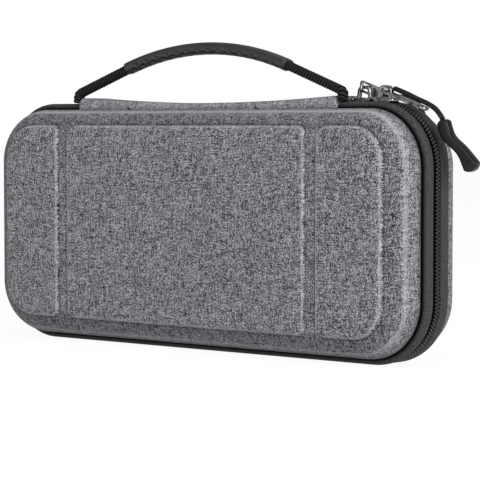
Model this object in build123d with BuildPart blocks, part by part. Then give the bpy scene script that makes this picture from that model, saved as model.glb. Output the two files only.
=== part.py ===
from build123d import *
import os
from math import asin, cos, degrees, pi, radians, sin, tan

# Hard-shell carrying case for a handheld game console, standing on its long edge.
# Two moulded shells hang on a padded spine along the top. A coil zipper closes the other three
# sides, and a webbing handle with a moulded grip stands on the spine.
# Frame: +X along the case, the front faces -Y, +Z up, the origin is under the middle of the case.
# All sizes are in millimetres.

# Case
case_length = 260.0  # over the zipper
case_height = 121.0  # over the zipper, without the handle
case_depth = 54.6
zip_corner = 30.0  # corner radius of the zipper's outline
zip_proud = 3.1  # how far the zipper stands out past the shells
zip_band = 21.4  # between the rims of the two shells
shell_wall = 3.5
edge_radius = 15.0  # rounding between the faces and the sides of a shell
rim_flat = 0.4  # least straight wall between that rounding and the rim
fold_gap = 0.3  # between pieces that turn against each other

# Raised panels of the front
panel_rise = 1.2
panel_bottom = 13.0  # from the ground
panel_top = 11.0  # from the top of the zipper
panel_end = 14.0  # from the end of the case
panel_gap = 6.5  # between the middle panel and a side panel
side_panel = 36.0
inner_panel_corner = 5.0
outer_panel_corner = 17.0
panel_slope = 35.0  # lean of the panels' edges, degrees
panel_reach = 6.0  # how far the panels' sides run back into the rounded edge

# Zipper
tape_thick = 1.3
tape_tuck = 1.5  # how far the tape reaches down the rim of a shell
coil_half = 2.5
coil_gap = 0.3  # between the two coils
coil_depth = 1.9
coil_top = 0.1  # below the outside of the tape
tooth_pitch = 1.7
tooth_depth = 0.7
zip_cut = 7.0  # how far round the top corners the zipper stays with the spine
tack_length = 2.6  # of the sewn end under the coil
binding_thick = 1.0

# Inside
tray_front = 1.0
tray_gap = 0.3
tray_end_wall = 2.1
tray_long_wall = 1.4
recess_depth = 13.0
recess_corner = 20.0
notch_width = 44.0
notch_depth = 9.0
pocket_top = 37.0  # from the top of the zipper
pocket_thick = 0.8
elastic_height = 3.0
elastic_thick = 2.4
flap_end = 16.0  # from the end of the case
flap_bottom = 14.0
flap_top = 13.0  # from the top of the zipper
flap_thick = 3.0
flap_corner = 8.0
flap_strip_end = 5.0  # from the end of the spine
flap_strip_thick = 1.0
flap_seam = 2.0  # how far the flap's strip laps the binding
card_rows = 2
card_columns = 5
card_margin = 8.0
card_thick = 1.0
card_seam = 2.0

# Spine and handle
spine_inset = 49.7  # from the end of the case to the end of the spine
spine_sag = 0.1  # below the top of the zipper, at the middle
spine_lift = 3.0  # above it, at the ends
spine_thick = 3.5
spine_round = 2.4
webbing_width = 4.6
webbing_thick = 3.0
webbing_round = 1.2
webbing_bend = 3.0
handle_edge = 0.2  # from the front edge of the spine to the webbing
handle_lean = 6.0  # lean of the handle to the back, degrees
strap_run = 29.6  # from the end of the spine to the grip
grip_width = 8.4
grip_thick = 6.0
grip_edge = 3.6  # height of the grip's front and back edges
grip_rise = 29.5  # above the zipper
grip_slope = 20.95  # at the ends of the grip, degrees
grip_slot_gap = 0.2
hole_size = 2.4
hole_depth = 0.6
hole_pitch = 6.5
hole_rows = 3
hole_row_pitch = 2.3

# Sliders and pulls
slider_length = 10.6
slider_width = 9.0
slider_plate = 1.5
slider_gap = 0.35  # between the upper plate and the zipper
slider_under = 1.0  # between the lower plate and the zipper
slider_space = 0.4  # between the two sliders
slider_tilt = 6.0  # lean of the outer slider as it starts round the corner
crown_length = 8.2
crown_height = 5.6
crown_bar = 1.6
crown_width = 2.4
crown_shift = -1.0
post_size = 1.6
stop_inset = 2.9  # from the start of the zipper's end stretch
stop_length = 1.1
stop_width = 6.0
stop_height = 1.7
tab_length = 25.0
tab_thick = 1.4
tab_width = 5.6
tab_bar = 1.6
tab_loop = 7.0  # opening that holds the crown
tab_loop_width = 3.4
tab_eye = 3.2
outer_tab_fall = 20.0  # degrees below level, to the right
outer_tab_shift = -0.6  # from the middle of the crown
outer_tab_drop = 1.25  # below the crown's bar
inner_tab_fall = 13.0  # degrees below level, to the back
cord_size = 2.4
cord_gap = 0.3  # between a cord's end and the pull on it
end_thick = 4.6
inner_end_drop = 1.6  # from the cord's end to the middle of the pull's head
inner_end_turn = 38.0  # degrees
outer_end_drop = 1.2
outer_end_shift = 0.6

half_length = case_length / 2
half_depth = case_depth / 2
mid_z = case_height / 2
rim_y = zip_band / 2
shell_depth = half_depth - rim_y
base_depth = shell_depth - panel_rise
edge_round = min(edge_radius, base_depth - rim_flat)
corner_x = half_length - zip_corner
corner_top = case_height - zip_corner
cut_angle = degrees(asin(zip_cut / zip_corner))
cut_gap_angle = degrees(fold_gap / zip_corner)
rim_inside = zip_proud + shell_wall
lining_inside = rim_inside + binding_thick + tray_gap

front_rim = Plane(origin=(0, -rim_y, mid_z), x_dir=(1, 0, 0), z_dir=(0, -1, 0))
back_rim = Plane(origin=(0, rim_y, mid_z), x_dir=(1, 0, 0), z_dir=(0, 1, 0))


def outline(inset):
    """Rounded rectangle that lies `inset` inside the zipper's outline."""
    return RectangleRounded(case_length - 2 * inset, case_height - 2 * inset, zip_corner - inset)


def save(piece, name):
    piece.part.label = name
    export_step(piece.part, f"parts/{name}.step")


os.makedirs("parts", exist_ok=True)


# Back shell: foam board moulded under cloth, a plain dished half
with BuildPart() as back_hollow:
    with BuildSketch(back_rim):
        outline(rim_inside)
    extrude(amount=shell_depth - shell_wall)
    fillet(back_hollow.faces().sort_by(Axis.Y)[-1].edges(), edge_round - shell_wall)

with BuildPart() as back_shell:
    with BuildSketch(back_rim):
        outline(zip_proud)
    extrude(amount=shell_depth)
    fillet(back_shell.faces().sort_by(Axis.Y)[-1].edges(), edge_round)
    add(back_hollow.part, mode=Mode.SUBTRACT)
save(back_shell, "back_shell")


# Front shell: the same half with three raised panels
panel_root = front_rim.offset(shell_depth - panel_reach)
panel_spread = panel_reach * tan(radians(panel_slope))
panel_height = case_height - panel_bottom - panel_top
panel_centre = panel_bottom + panel_height / 2 - mid_z
middle_panel = case_length - 2 * (panel_end + side_panel + panel_gap)
side_centre = middle_panel / 2 + panel_gap + side_panel / 2

with BuildPart() as middle_block:
    with BuildSketch(front_rim):
        outline(zip_proud)
    extrude(amount=shell_depth)
    fillet(middle_block.faces().sort_by(Axis.Y)[0].edges(), edge_round)
    with BuildSketch(panel_root):
        with Locations((0, panel_centre)):
            RectangleRounded(
                middle_panel + 2 * panel_spread,
                panel_height + 2 * panel_spread,
                inner_panel_corner + panel_spread,
            )
    extrude(amount=panel_reach, taper=panel_slope, mode=Mode.INTERSECT)

with BuildPart() as side_blocks:
    with BuildSketch(front_rim):
        outline(zip_proud)
    extrude(amount=shell_depth)
    fillet(side_blocks.faces().sort_by(Axis.Y)[0].edges(), edge_round)
    with BuildSketch(panel_root) as side_outline:
        with Locations((side_centre, panel_centre)):
            Rectangle(side_panel + 2 * panel_spread, panel_height + 2 * panel_spread)
        fillet(side_outline.vertices().group_by(Axis.X)[0], inner_panel_corner + panel_spread)
        fillet(side_outline.vertices().group_by(Axis.X)[-1], outer_panel_corner + panel_spread)
    extrude(amount=panel_reach, taper=panel_slope, mode=Mode.INTERSECT)
    mirror(about=Plane.YZ)

with BuildPart() as front_hollow:
    with BuildSketch(front_rim):
        outline(rim_inside)
    extrude(amount=base_depth - shell_wall)
    fillet(front_hollow.faces().sort_by(Axis.Y)[0].edges(), edge_round - shell_wall)

with BuildPart() as front_shell:
    with BuildSketch(front_rim):
        outline(zip_proud)
    extrude(amount=base_depth)
    fillet(front_shell.faces().sort_by(Axis.Y)[0].edges(), edge_round)
    add(middle_block.part)
    add(side_blocks.part)
    add(front_hollow.part, mode=Mode.SUBTRACT)
save(front_shell, "front_shell")


# Zipper: two tapes rolled down to the rims and two toothed coils, from one corner cut to the other
with BuildLine(Plane.XZ) as zip_run:
    CenterArc((corner_x, corner_top), zip_corner, 90 - cut_angle, cut_angle - 90)
    Line((half_length, corner_top), (half_length, zip_corner))
    CenterArc((corner_x, zip_corner), zip_corner, 0, -90)
    Line((corner_x, 0), (-corner_x, 0))
    CenterArc((-corner_x, zip_corner), zip_corner, 270, -90)
    Line((-half_length, zip_corner), (-half_length, corner_top))
    CenterArc((-corner_x, corner_top), zip_corner, 180, cut_angle - 90)
zip_wire = zip_run.wire()
run_start = Plane(origin=zip_wire @ 0, x_dir=(0, 1, 0), z_dir=zip_wire % 0)


def tape_outline(side, edge):
    """Section of a tape on one side of the teeth, from the coil to `edge` at a shell's rim."""
    flat = edge - zip_proud
    inner = zip_proud - tape_thick
    foot = zip_proud + tape_tuck
    diagonal = sin(radians(45))
    Line((side * coil_half, 0), (side * flat, 0))
    ThreePointArc(
        (side * flat, 0),
        (side * (flat + zip_proud * diagonal), zip_proud * diagonal - zip_proud),
        (side * edge, -zip_proud),
    )
    Polyline(
        (side * edge, -zip_proud),
        (side * edge, -foot),
        (side * (edge - tape_thick), -foot),
        (side * (edge - tape_thick), -zip_proud),
    )
    ThreePointArc(
        (side * (edge - tape_thick), -zip_proud),
        (side * (flat + inner * diagonal), inner * diagonal - zip_proud),
        (side * flat, -tape_thick),
    )
    Polyline(
        (side * flat, -tape_thick),
        (side * coil_half, -tape_thick),
        (side * coil_half, 0),
    )


def toothed_ring(wire, count):
    """Points of a coil seen along Y: `count` teeth on the outside, a smooth line inside."""
    outer = []
    inner = []
    for step in range(2 * count + 1):
        place = wire @ (step / (2 * count))
        way = wire % (step / (2 * count))
        depth = coil_top + (step % 2) * tooth_depth
        outer.append((place.X + way.Z * depth, place.Z - way.X * depth))
        if step % 8 == 0 or step == 2 * count:
            inner.append((place.X + way.Z * coil_depth, place.Z - way.X * coil_depth))
    return outer + inner[::-1]


teeth = toothed_ring(zip_wire, round(zip_wire.length / tooth_pitch))
coil_width = coil_half - coil_gap / 2

with BuildPart() as front_tape:
    with BuildSketch(run_start):
        with BuildLine():
            tape_outline(-1, rim_y)
        make_face()
    sweep(path=zip_wire)
save(front_tape, "front_tape")

with BuildPart() as back_tape:
    with BuildSketch(run_start):
        with BuildLine():
            tape_outline(1, rim_y)
        make_face()
    sweep(path=zip_wire)
save(back_tape, "back_tape")

with BuildPart() as front_coil:
    with BuildSketch(Plane.XZ.offset(coil_gap / 2)):
        with BuildLine():
            Polyline(*teeth, close=True)
        make_face()
    extrude(amount=coil_width)
save(front_coil, "front_coil")

with BuildPart() as back_coil:
    with BuildSketch(Plane.XZ.offset(-coil_half)):
        with BuildLine():
            Polyline(*teeth, close=True)
        make_face()
    extrude(amount=coil_width)
save(back_coil, "back_coil")


# Seam bindings: folded tape that covers the sewn rim inside each shell
def binding(rim, name):
    inside = rim_inside + binding_thick
    with BuildPart() as band:
        with BuildSketch(rim):
            outline(zip_proud + tape_tuck + tray_gap)
            RectangleRounded(
                case_length - 2 * inside,
                case_height - 2 * inside,
                zip_corner - inside,
                mode=Mode.SUBTRACT,
            )
        extrude(amount=-binding_thick)
    save(band, name)


binding(front_rim, "front_binding")
binding(back_rim, "back_binding")


# Console tray: foam block with the console's recess and two finger notches
tray_depth = half_depth - shell_wall - tray_gap - tray_front
tray_face = Plane(origin=(0, tray_front, mid_z), x_dir=(1, 0, 0), z_dir=(0, 1, 0))
recess_length = case_length - 2 * (lining_inside + tray_end_wall)
recess_height = case_height - 2 * (lining_inside + tray_long_wall)

with BuildPart() as console_tray:
    with BuildSketch(tray_face):
        outline(lining_inside)
    extrude(amount=tray_depth)
    fillet(console_tray.faces().sort_by(Axis.Y)[-1].edges(), edge_round - shell_wall)
    with BuildSketch(tray_face):
        RectangleRounded(recess_length, recess_height, recess_corner)
        SlotOverall(case_height, notch_width, rotation=90)
    extrude(amount=notch_depth, mode=Mode.SUBTRACT)
    with BuildSketch(tray_face):
        RectangleRounded(recess_length, recess_height, recess_corner)
    extrude(amount=recess_depth, mode=Mode.SUBTRACT)
save(console_tray, "console_tray")


# Mesh pocket of the front half, sewn behind the binding, with its elastic edge
pocket_edge = mid_z - pocket_top

with BuildPart() as mesh_pocket:
    with BuildSketch(front_rim):
        outline(rim_inside + tray_gap)
        with Locations((0, pocket_edge)):
            Rectangle(case_length, case_height, align=(Align.CENTER, Align.MIN), mode=Mode.SUBTRACT)
    extrude(amount=pocket_thick)
save(mesh_pocket, "mesh_pocket")

with BuildPart() as pocket_elastic:
    with BuildSketch(front_rim.offset((pocket_thick - elastic_thick) / 2)):
        with Locations((0, pocket_edge)):
            Rectangle(
                case_length - 2 * lining_inside,
                elastic_height,
                align=(Align.CENTER, Align.MIN),
            )
    extrude(amount=elastic_thick)
    fillet(pocket_elastic.edges().filter_by(Axis.X), elastic_thick / 3)
save(pocket_elastic, "pocket_elastic")


# Divider flap with card pockets, sewn to the front binding along its top
flap_face = Plane(
    origin=(0, -rim_y + binding_thick + fold_gap, 0), x_dir=(1, 0, 0), z_dir=(0, 1, 0)
)
flap_length = case_length - 2 * flap_end
flap_height = case_height - flap_bottom - flap_top
flap_centre = flap_bottom + flap_height / 2
flap_strip = case_length - 2 * (spine_inset + flap_strip_end)
strip_top = case_height - rim_inside - binding_thick + flap_seam

with BuildPart() as card_flap:
    with BuildSketch(flap_face):
        with Locations((0, -flap_centre)):
            RectangleRounded(flap_length, flap_height, flap_corner)
    extrude(amount=flap_thick)
    with BuildSketch(flap_face):
        with Locations((0, -strip_top)):
            Rectangle(flap_strip, strip_top - flap_centre, align=(Align.CENTER, Align.MIN))
    extrude(amount=flap_strip_thick)
save(card_flap, "card_flap")

card_width = (flap_length - 2 * card_margin - card_seam) / card_columns
card_height = (flap_height - 2 * card_margin - card_seam) / card_rows

with BuildPart() as card_pockets:
    with BuildSketch(flap_face.offset(flap_thick)):
        with Locations((0, -flap_centre)):
            with GridLocations(0, card_height + card_seam, 1, card_rows):
                Rectangle(card_columns * card_width + card_seam, card_height)
    extrude(amount=card_thick)
    with BuildSketch(flap_face.offset(flap_thick + card_thick)):
        with Locations((0, -flap_centre)):
            with GridLocations(
                card_width, card_height + card_seam, card_columns + 1, card_rows
            ):
                Rectangle(card_seam, card_height)
    extrude(amount=-card_thick / 2, mode=Mode.SUBTRACT)
save(card_pockets, "card_pockets")


# Spine: padded cloth band between the rims, drawn up at its ends by the handle
spine_half = half_length - spine_inset
spine_middle = case_height - spine_sag
spine_end = case_height + spine_lift
spine_bottom = spine_middle - spine_thick

with BuildPart() as spine_band:
    with BuildSketch(Plane.XZ):
        with BuildLine():
            Polyline(
                (-spine_half, spine_end),
                (-spine_half, spine_bottom),
                (spine_half, spine_bottom),
                (spine_half, spine_end),
            )
            ThreePointArc((spine_half, spine_end), (0, spine_middle), (-spine_half, spine_end))
        make_face()
    extrude(amount=rim_y - fold_gap, both=True)
    fillet(spine_band.faces().sort_by(Axis.Z)[-1].edges(), spine_round)
save(spine_band, "spine_band")


# Zipper ends: the short stretches that stay with the spine, closed at the spine by an end stop
end_start = spine_half + fold_gap
stop_at = end_start + stop_inset

with BuildLine(Plane.XZ) as end_run:
    Line((end_start, case_height), (corner_x, case_height))
    CenterArc((corner_x, corner_top), zip_corner, 90, cut_gap_angle - cut_angle)
end_wire = end_run.wire()
end_plane = Plane(origin=end_wire @ 0, x_dir=(0, 1, 0), z_dir=end_wire % 0)
tack_depth = coil_depth + tape_thick

with BuildPart() as right_end_tape:
    for side in (-1, 1):
        with BuildSketch(end_plane):
            with BuildLine():
                tape_outline(side, rim_y - fold_gap)
            make_face()
        sweep(path=end_wire)
    with BuildSketch(end_plane):
        with Locations((0, -tack_depth / 2 - coil_depth / 2)):
            Rectangle(2 * coil_half + 2 * tape_thick, tape_thick)
        with GridLocations(2 * coil_half + tape_thick, 0, 2, 1):
            with Locations((0, -tack_depth / 2)):
                Rectangle(tape_thick, tack_depth)
    extrude(amount=tack_length)
save(right_end_tape, "right_end_tape")

with BuildPart() as left_end_tape:
    add(mirror(right_end_tape.part, about=Plane.YZ))
save(left_end_tape, "left_end_tape")

end_teeth = toothed_ring(end_wire, round(end_wire.length / tooth_pitch))
slider_1_at = stop_at + stop_length + fold_gap + slider_length / 2
slider_2_at = slider_1_at + slider_length + slider_space
post_at = -slider_length / 4

with BuildPart() as left_end_coil:
    with BuildSketch(Plane.XZ):
        with BuildLine():
            Polyline(*[(-x, z) for x, z in end_teeth], close=True)
        make_face()
    extrude(amount=coil_half, both=True)
save(left_end_coil, "left_end_coil")

with BuildPart() as right_end_coil:
    with BuildSketch(Plane.XZ):
        with BuildLine():
            Polyline(*end_teeth, close=True)
        make_face()
    extrude(amount=coil_half, both=True)
    with BuildSketch(Plane.XY.offset(case_height)):
        with Locations((slider_1_at + post_at, 0), (slider_2_at + post_at, 0)):
            Rectangle(post_size + 4 * fold_gap, post_size + 2 * fold_gap)
    extrude(amount=-2 * coil_depth, mode=Mode.SUBTRACT)
save(right_end_coil, "right_end_coil")

with BuildPart() as right_end_stop:
    with BuildSketch(Plane.XY.offset(case_height)):
        with Locations((stop_at + stop_length / 2, 0)):
            RectangleRounded(stop_length, stop_width, stop_length / 3)
    extrude(amount=stop_height)
save(right_end_stop, "right_end_stop")

with BuildPart() as left_end_stop:
    add(mirror(right_end_stop.part, about=Plane.YZ))
save(left_end_stop, "left_end_stop")


# Handle: webbing sewn to the ends of the spine, run through an arched grip with a holed underside
lean_back = radians(handle_lean)
handle_plane = Plane(
    origin=(0, fold_gap + handle_edge + webbing_width / 2 - rim_y, case_height),
    x_dir=(1, 0, 0),
    z_dir=(0, -cos(lean_back), sin(lean_back)),
)
handle_up = handle_plane.y_dir
handle_back = -handle_plane.z_dir
grip_side = radians(grip_slope)
grip_length = 2 * (spine_half - strap_run)
grip_arc = grip_length / 2 / sin(grip_side)
grip_centre = grip_rise - grip_arc
webbing_arc = grip_arc - grip_thick / 2
out_x = webbing_arc * sin(grip_side)
out_up = grip_centre + webbing_arc * cos(grip_side)
foot_x = end_start + webbing_thick / 2
foot_up = -webbing_width / 2
bend_up = out_up - (foot_x - out_x) * tan(grip_side)

with BuildLine(handle_plane) as webbing_run:
    FilletPolyline((-foot_x, foot_up), (-foot_x, bend_up), (-out_x, out_up), radius=webbing_bend)
    ThreePointArc((-out_x, out_up), (0, grip_centre + webbing_arc), (out_x, out_up))
    FilletPolyline((out_x, out_up), (foot_x, bend_up), (foot_x, foot_up), radius=webbing_bend)
webbing_wire = webbing_run.wire()

with BuildPart() as handle_webbing:
    with BuildSketch(Plane(origin=webbing_wire @ 0, x_dir=handle_back, z_dir=webbing_wire % 0)):
        RectangleRounded(webbing_width, webbing_thick, webbing_round)
    sweep(path=webbing_wire)
    split(bisect_by=Plane.XY.offset(case_height), keep=Keep.TOP)
save(handle_webbing, "handle_webbing")

grip_origin = handle_plane.from_local_coords((0, grip_centre, 0))
grip_end = Plane(
    origin=grip_origin,
    x_dir=handle_back,
    z_dir=Vector(1, 0, 0) * cos(grip_side) + handle_up * sin(grip_side),
)
grip_half = grip_width / 2
grip_crown = grip_edge / 3
belly_drop = grip_thick - grip_edge
belly_arc = (grip_half**2 + belly_drop**2) / (2 * belly_drop)
hole_step = degrees(hole_pitch / (grip_arc - grip_thick))
hole_count = int((2 * grip_slope - hole_step) / hole_step)


def grip_holes():
    """Places on the grip's rounded underside, in rows that are set half a pitch apart."""
    places = []
    for row in range(hole_rows):
        across = (row - (hole_rows - 1) / 2) * hole_row_pitch
        tilt = asin(across / belly_arc)
        radius = grip_arc - grip_thick + belly_arc * (1 - cos(tilt))
        for step in range(hole_count + row % 2):
            turn = radians((step - (hole_count - 1 + row % 2) / 2) * hole_step)
            outwards = Vector(1, 0, 0) * sin(turn) + handle_up * cos(turn)
            place = grip_origin + outwards * radius + handle_back * across
            axis = handle_back * sin(tilt) - outwards * cos(tilt)
            places.append(Plane(origin=place, z_dir=axis).location)
    return places


with BuildPart() as handle_grip:
    with BuildSketch(grip_end):
        with BuildLine():
            Line((-grip_half, grip_arc - grip_edge), (-grip_half, grip_arc - grip_crown))
            ThreePointArc(
                (-grip_half, grip_arc - grip_crown),
                (0, grip_arc),
                (grip_half, grip_arc - grip_crown),
            )
            Line((grip_half, grip_arc - grip_crown), (grip_half, grip_arc - grip_edge))
            ThreePointArc(
                (grip_half, grip_arc - grip_edge),
                (0, grip_arc - grip_thick),
                (-grip_half, grip_arc - grip_edge),
            )
        make_face()
        with Locations((0, webbing_arc)):
            RectangleRounded(
                webbing_width + 2 * grip_slot_gap,
                webbing_thick + 2 * grip_slot_gap,
                webbing_round + grip_slot_gap,
                mode=Mode.SUBTRACT,
            )
    revolve(axis=Axis(grip_origin, handle_back), revolution_arc=2 * grip_slope)
    with Locations(*grip_holes()):
        Cylinder(hole_size / 2, 2 * hole_depth, mode=Mode.SUBTRACT)
save(handle_grip, "handle_grip")


# Sliders: two plates on a post, with a crown that carries the pull
plate_top = slider_gap + slider_plate


def slider(plane, name):
    with BuildPart() as body:
        with BuildSketch(plane.offset(slider_gap)):
            RectangleRounded(slider_length, slider_width, slider_width / 3)
        extrude(amount=slider_plate)
        top_face = body.faces().sort_by(Axis(plane.origin, plane.z_dir))[-1]
        fillet(top_face.edges(), slider_plate / 3)
        with BuildSketch(plane.offset(-coil_depth - slider_under)):
            RectangleRounded(slider_length, slider_width, slider_width / 3)
        extrude(amount=-slider_plate)
        with BuildSketch(plane.offset(slider_gap)):
            with Locations((post_at, 0)):
                Rectangle(post_size, post_size)
        extrude(amount=-coil_depth - slider_gap - slider_under)
        with BuildSketch(Plane(origin=plane.origin, x_dir=plane.x_dir, z_dir=-plane.y_dir)) as arch:
            with Locations((crown_shift, slider_gap)):
                Rectangle(
                    crown_length, slider_plate + crown_height, align=(Align.CENTER, Align.MIN)
                )
            fillet(arch.vertices().group_by(Axis.Y)[-1], crown_bar)
            with Locations((crown_shift, plate_top)):
                Rectangle(
                    crown_length - 2 * crown_bar,
                    crown_height - crown_bar,
                    align=(Align.CENTER, Align.MIN),
                    mode=Mode.SUBTRACT,
                )
        extrude(amount=crown_width / 2, both=True)
    save(body, name)


lean = radians(slider_tilt)
slider_1_plane = Plane(origin=(slider_1_at, 0, case_height), x_dir=(1, 0, 0), z_dir=(0, 0, 1))
slider_2_plane = Plane(
    origin=(slider_2_at, 0, case_height),
    x_dir=(cos(lean), 0, -sin(lean)),
    z_dir=(sin(lean), 0, cos(lean)),
)
slider(slider_1_plane, "slider_1")
slider(slider_2_plane, "slider_2")


# Pull tabs: flat bars with a loop for the crown and an eye for the cord
def pull_tab(plane, name):
    loop_end = tab_bar / 2 + tab_loop
    with BuildPart() as tab:
        with BuildSketch(plane):
            with Locations((-tab_bar / 2, 0)):
                Rectangle(loop_end + 2 * tab_bar, tab_width, align=(Align.MIN, Align.CENTER))
            with Locations(((tab_length - tab_bar / 2) / 2, 0)):
                SlotOverall(tab_length + tab_bar / 2, tab_width)
            with Locations((tab_bar / 2, 0)):
                Rectangle(
                    tab_loop, tab_loop_width, align=(Align.MIN, Align.CENTER), mode=Mode.SUBTRACT
                )
            with Locations((tab_length - tab_width / 2, 0)):
                Circle(tab_eye / 2, mode=Mode.SUBTRACT)
        extrude(amount=tab_thick / 2, both=True)
    save(tab, name)


fall_1 = radians(inner_tab_fall)
crown_mid = plate_top + crown_height - crown_bar / 2
hang_1 = Vector(slider_1_at + crown_shift, 0, case_height + crown_mid)
tab_1_way = Vector(0, cos(fall_1), -sin(fall_1))
tab_1_start = hang_1 - tab_1_way * (tab_bar / 2 + tab_loop_width / 2 + cord_gap)
pull_tab(Plane(origin=tab_1_start, x_dir=tab_1_way, z_dir=(1, 0, 0)), "pull_tab_1")

fall_2 = radians(outer_tab_fall)
hang_2 = slider_2_plane.from_local_coords(
    (crown_shift + outer_tab_shift, 0, plate_top + crown_height - crown_bar - outer_tab_drop)
)
tab_2_way = Vector(cos(fall_2), 0, -sin(fall_2))
pull_tab(
    Plane(origin=hang_2, x_dir=tab_2_way, z_dir=(sin(fall_2), 0, cos(fall_2))), "pull_tab_2"
)
print("pull tabs turn about", hang_1, hang_2)


# Cords of the pulls: runs given from where each tab hangs, bent with the largest radii that fit
def cord_radii(points):
    """Bend radius at each inner point, so that two bends share no more than a run's length."""
    runs = [points[i + 1] - points[i] for i in range(len(points) - 1)]
    radii = []
    for before, after in zip(runs, runs[1:]):
        turn = radians(before.get_angle(after))
        radii.append(0.45 * min(before.length, after.length) / tan(turn / 2))
    return radii


def pull_cord(hang, offsets, name):
    points = [hang + Vector(*offset) for offset in offsets]
    radii = cord_radii(points)
    with BuildLine() as run:
        FilletPolyline(*points, radius=radii)
    wire = run.wire()
    with BuildPart() as cord:
        with BuildSketch(Plane(origin=wire @ 0, z_dir=wire % 0)):
            Circle(cord_size / 2)
        sweep(path=wire)
    section = pi * cord_size**2 / 4
    print(name, "length", round(wire.length, 2), "radii", [round(r, 1) for r in radii])
    print(name, "volume over section", round(cord.part.volume / section, 2))
    save(cord, name)
    return points[-1]


inner_cord = [
    (-1.0, 18.9, -4.3),
    (4.4, 19.2, -3.9),
    (10.3, 22.5, -5.0),
    (14.2, 27.8, -9.2),
    (15.2, 31.0, -23.0),
]
outer_cord = [
    (3.5, 3.2, 1.2),
    (10.4, 1.4, -0.8),
    (16.9, 1.0, -3.6),
    (23.7, 0.6, -6.0),
    (28.8, 0.3, -9.1),
    (31.4, 0.0, -12.9),
]
inner_tip = pull_cord(hang_1, inner_cord, "pull_cord_1")
outer_tip = pull_cord(hang_2, outer_cord, "pull_cord_2")


# Pull ends: flat clubs moulded in rubber, with a head round the cord and an S-shaped stem that
# widens to a rounded end. The outline is set out from the middle of the head.
club_head = [(2.7, 0.9), (-0.9, 1.2), (-2.7, -1.4)]
club_under = [(-2.7, -1.4), (0.3, -7.8), (7.8, -14.2), (11.6, -21.5)]
club_end = [(11.6, -21.5), (16.3, -21.3), (18.2, -17.7)]
club_over = [(18.2, -17.7), (11.4, -10.8), (5.4, -5.6), (2.7, 0.9)]


def pull_end(plane, name):
    with BuildPart() as club:
        with BuildSketch(plane):
            with BuildLine():
                Spline(*club_under)
                ThreePointArc(*club_end)
                Spline(*club_over)
                ThreePointArc(*club_head)
            make_face()
        extrude(amount=end_thick / 2, both=True)
    save(club, name)


end_turn = radians(inner_end_turn)
pull_end(
    Plane(
        origin=inner_tip - Vector(0, 0, inner_end_drop + cord_gap),
        x_dir=(cos(end_turn), 0, -sin(end_turn)),
        z_dir=(0, -1, 0),
    ),
    "pull_end_1",
)
pull_end(
    Plane(
        origin=outer_tip + Vector(outer_end_shift, 0, -outer_end_drop - cord_gap),
        x_dir=(1, 0, 0),
        z_dir=(0, -1, 0),
    ),
    "pull_end_2",
)
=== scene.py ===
from math import asin, ceil, cos, degrees, pi, radians, sin

import bmesh
import bpy
import numpy as np
from mathutils import Matrix, Vector


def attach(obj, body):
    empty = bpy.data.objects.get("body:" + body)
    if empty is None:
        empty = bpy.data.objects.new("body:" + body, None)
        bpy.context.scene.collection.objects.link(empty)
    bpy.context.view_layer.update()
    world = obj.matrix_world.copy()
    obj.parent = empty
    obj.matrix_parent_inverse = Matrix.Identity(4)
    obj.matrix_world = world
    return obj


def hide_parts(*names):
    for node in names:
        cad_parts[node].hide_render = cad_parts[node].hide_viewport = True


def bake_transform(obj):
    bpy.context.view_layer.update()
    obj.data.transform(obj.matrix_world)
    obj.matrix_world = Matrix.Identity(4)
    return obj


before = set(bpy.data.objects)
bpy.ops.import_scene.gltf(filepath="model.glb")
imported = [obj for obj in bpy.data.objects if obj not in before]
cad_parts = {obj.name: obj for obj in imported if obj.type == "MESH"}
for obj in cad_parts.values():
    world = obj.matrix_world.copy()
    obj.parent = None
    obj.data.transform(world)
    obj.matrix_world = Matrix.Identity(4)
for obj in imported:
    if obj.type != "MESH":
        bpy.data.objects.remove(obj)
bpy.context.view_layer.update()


# Back shell: a plain dished half of foam board, moulded hot with the heather cloth already glued
# on, so the weave runs unbroken from the face over the rounded edge to the rim at the zipper.
core_x = 100.0
core_low = 30.0
core_high = 91.0
zip_corner = 30.0
shell_inset = 3.1
shell_wall = 3.5
rim_y = 10.7
edge_round = 15.0
rim_straight = 0.4
back_depth = 16.6
ridge_turn = 35.0
# Painted highlight along the edge ridge, and painted shade in the trough inside it:
ridge_highlight_gain = 0.65
ridge_rise = 9.0
ridge_inner = 4.0
ridge_outer = 8.0
ridge_top_highlight_gain = 0.5
trough_shade_gain = 0.38
trough_turn = 57.0
trough_width = 16.0
trough_end = 84.0
trough_depth = 0.7
cloth_dark = (0.018, 0.0185, 0.021, 1.0)
cloth_pale = (0.475, 0.482, 0.515, 1.0)
cloth_thread = 0.00036
slub_run = 9.0
slub_share = 0.36
fleck_power = 2.0
# Painted highlight: the tone it evens the weave to, and how strongly painted light and shade scale the
# colour:
highlight_tone = 0.42
painted_light_gain = 0.8
lining_black = (0.014, 0.014, 0.016, 1.0)
lining_grey = (0.030, 0.030, 0.033, 1.0)


def put(tree, kind, inputs=None, **settings):
    """A node with its settings, each of its inputs given a value or joined to another's socket."""
    made = tree.nodes.new(kind)
    for name, value in settings.items():
        setattr(made, name, value)
    for socket, value in (inputs or {}).items():
        if isinstance(value, bpy.types.NodeSocket):
            tree.links.new(value, made.inputs[socket])
        else:
            made.inputs[socket].default_value = value
    return made


def calc(tree, operation, *values):
    made = tree.nodes.new("ShaderNodeMath")
    made.operation = operation
    for socket, value in zip(made.inputs, values):
        if isinstance(value, bpy.types.NodeSocket):
            tree.links.new(value, socket)
        else:
            socket.default_value = value
    return made.outputs[0]


def between(tree, share, dark, pale):
    """A colour between two others."""
    return put(tree, "ShaderNodeMix", {0: share, 6: dark, 7: pale}, data_type="RGBA").outputs[2]


def scaled(tree, vector, factor):
    made = put(tree, "ShaderNodeVectorMath", {0: vector, "Scale": factor}, operation="SCALE")
    return made.outputs[0]


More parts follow.
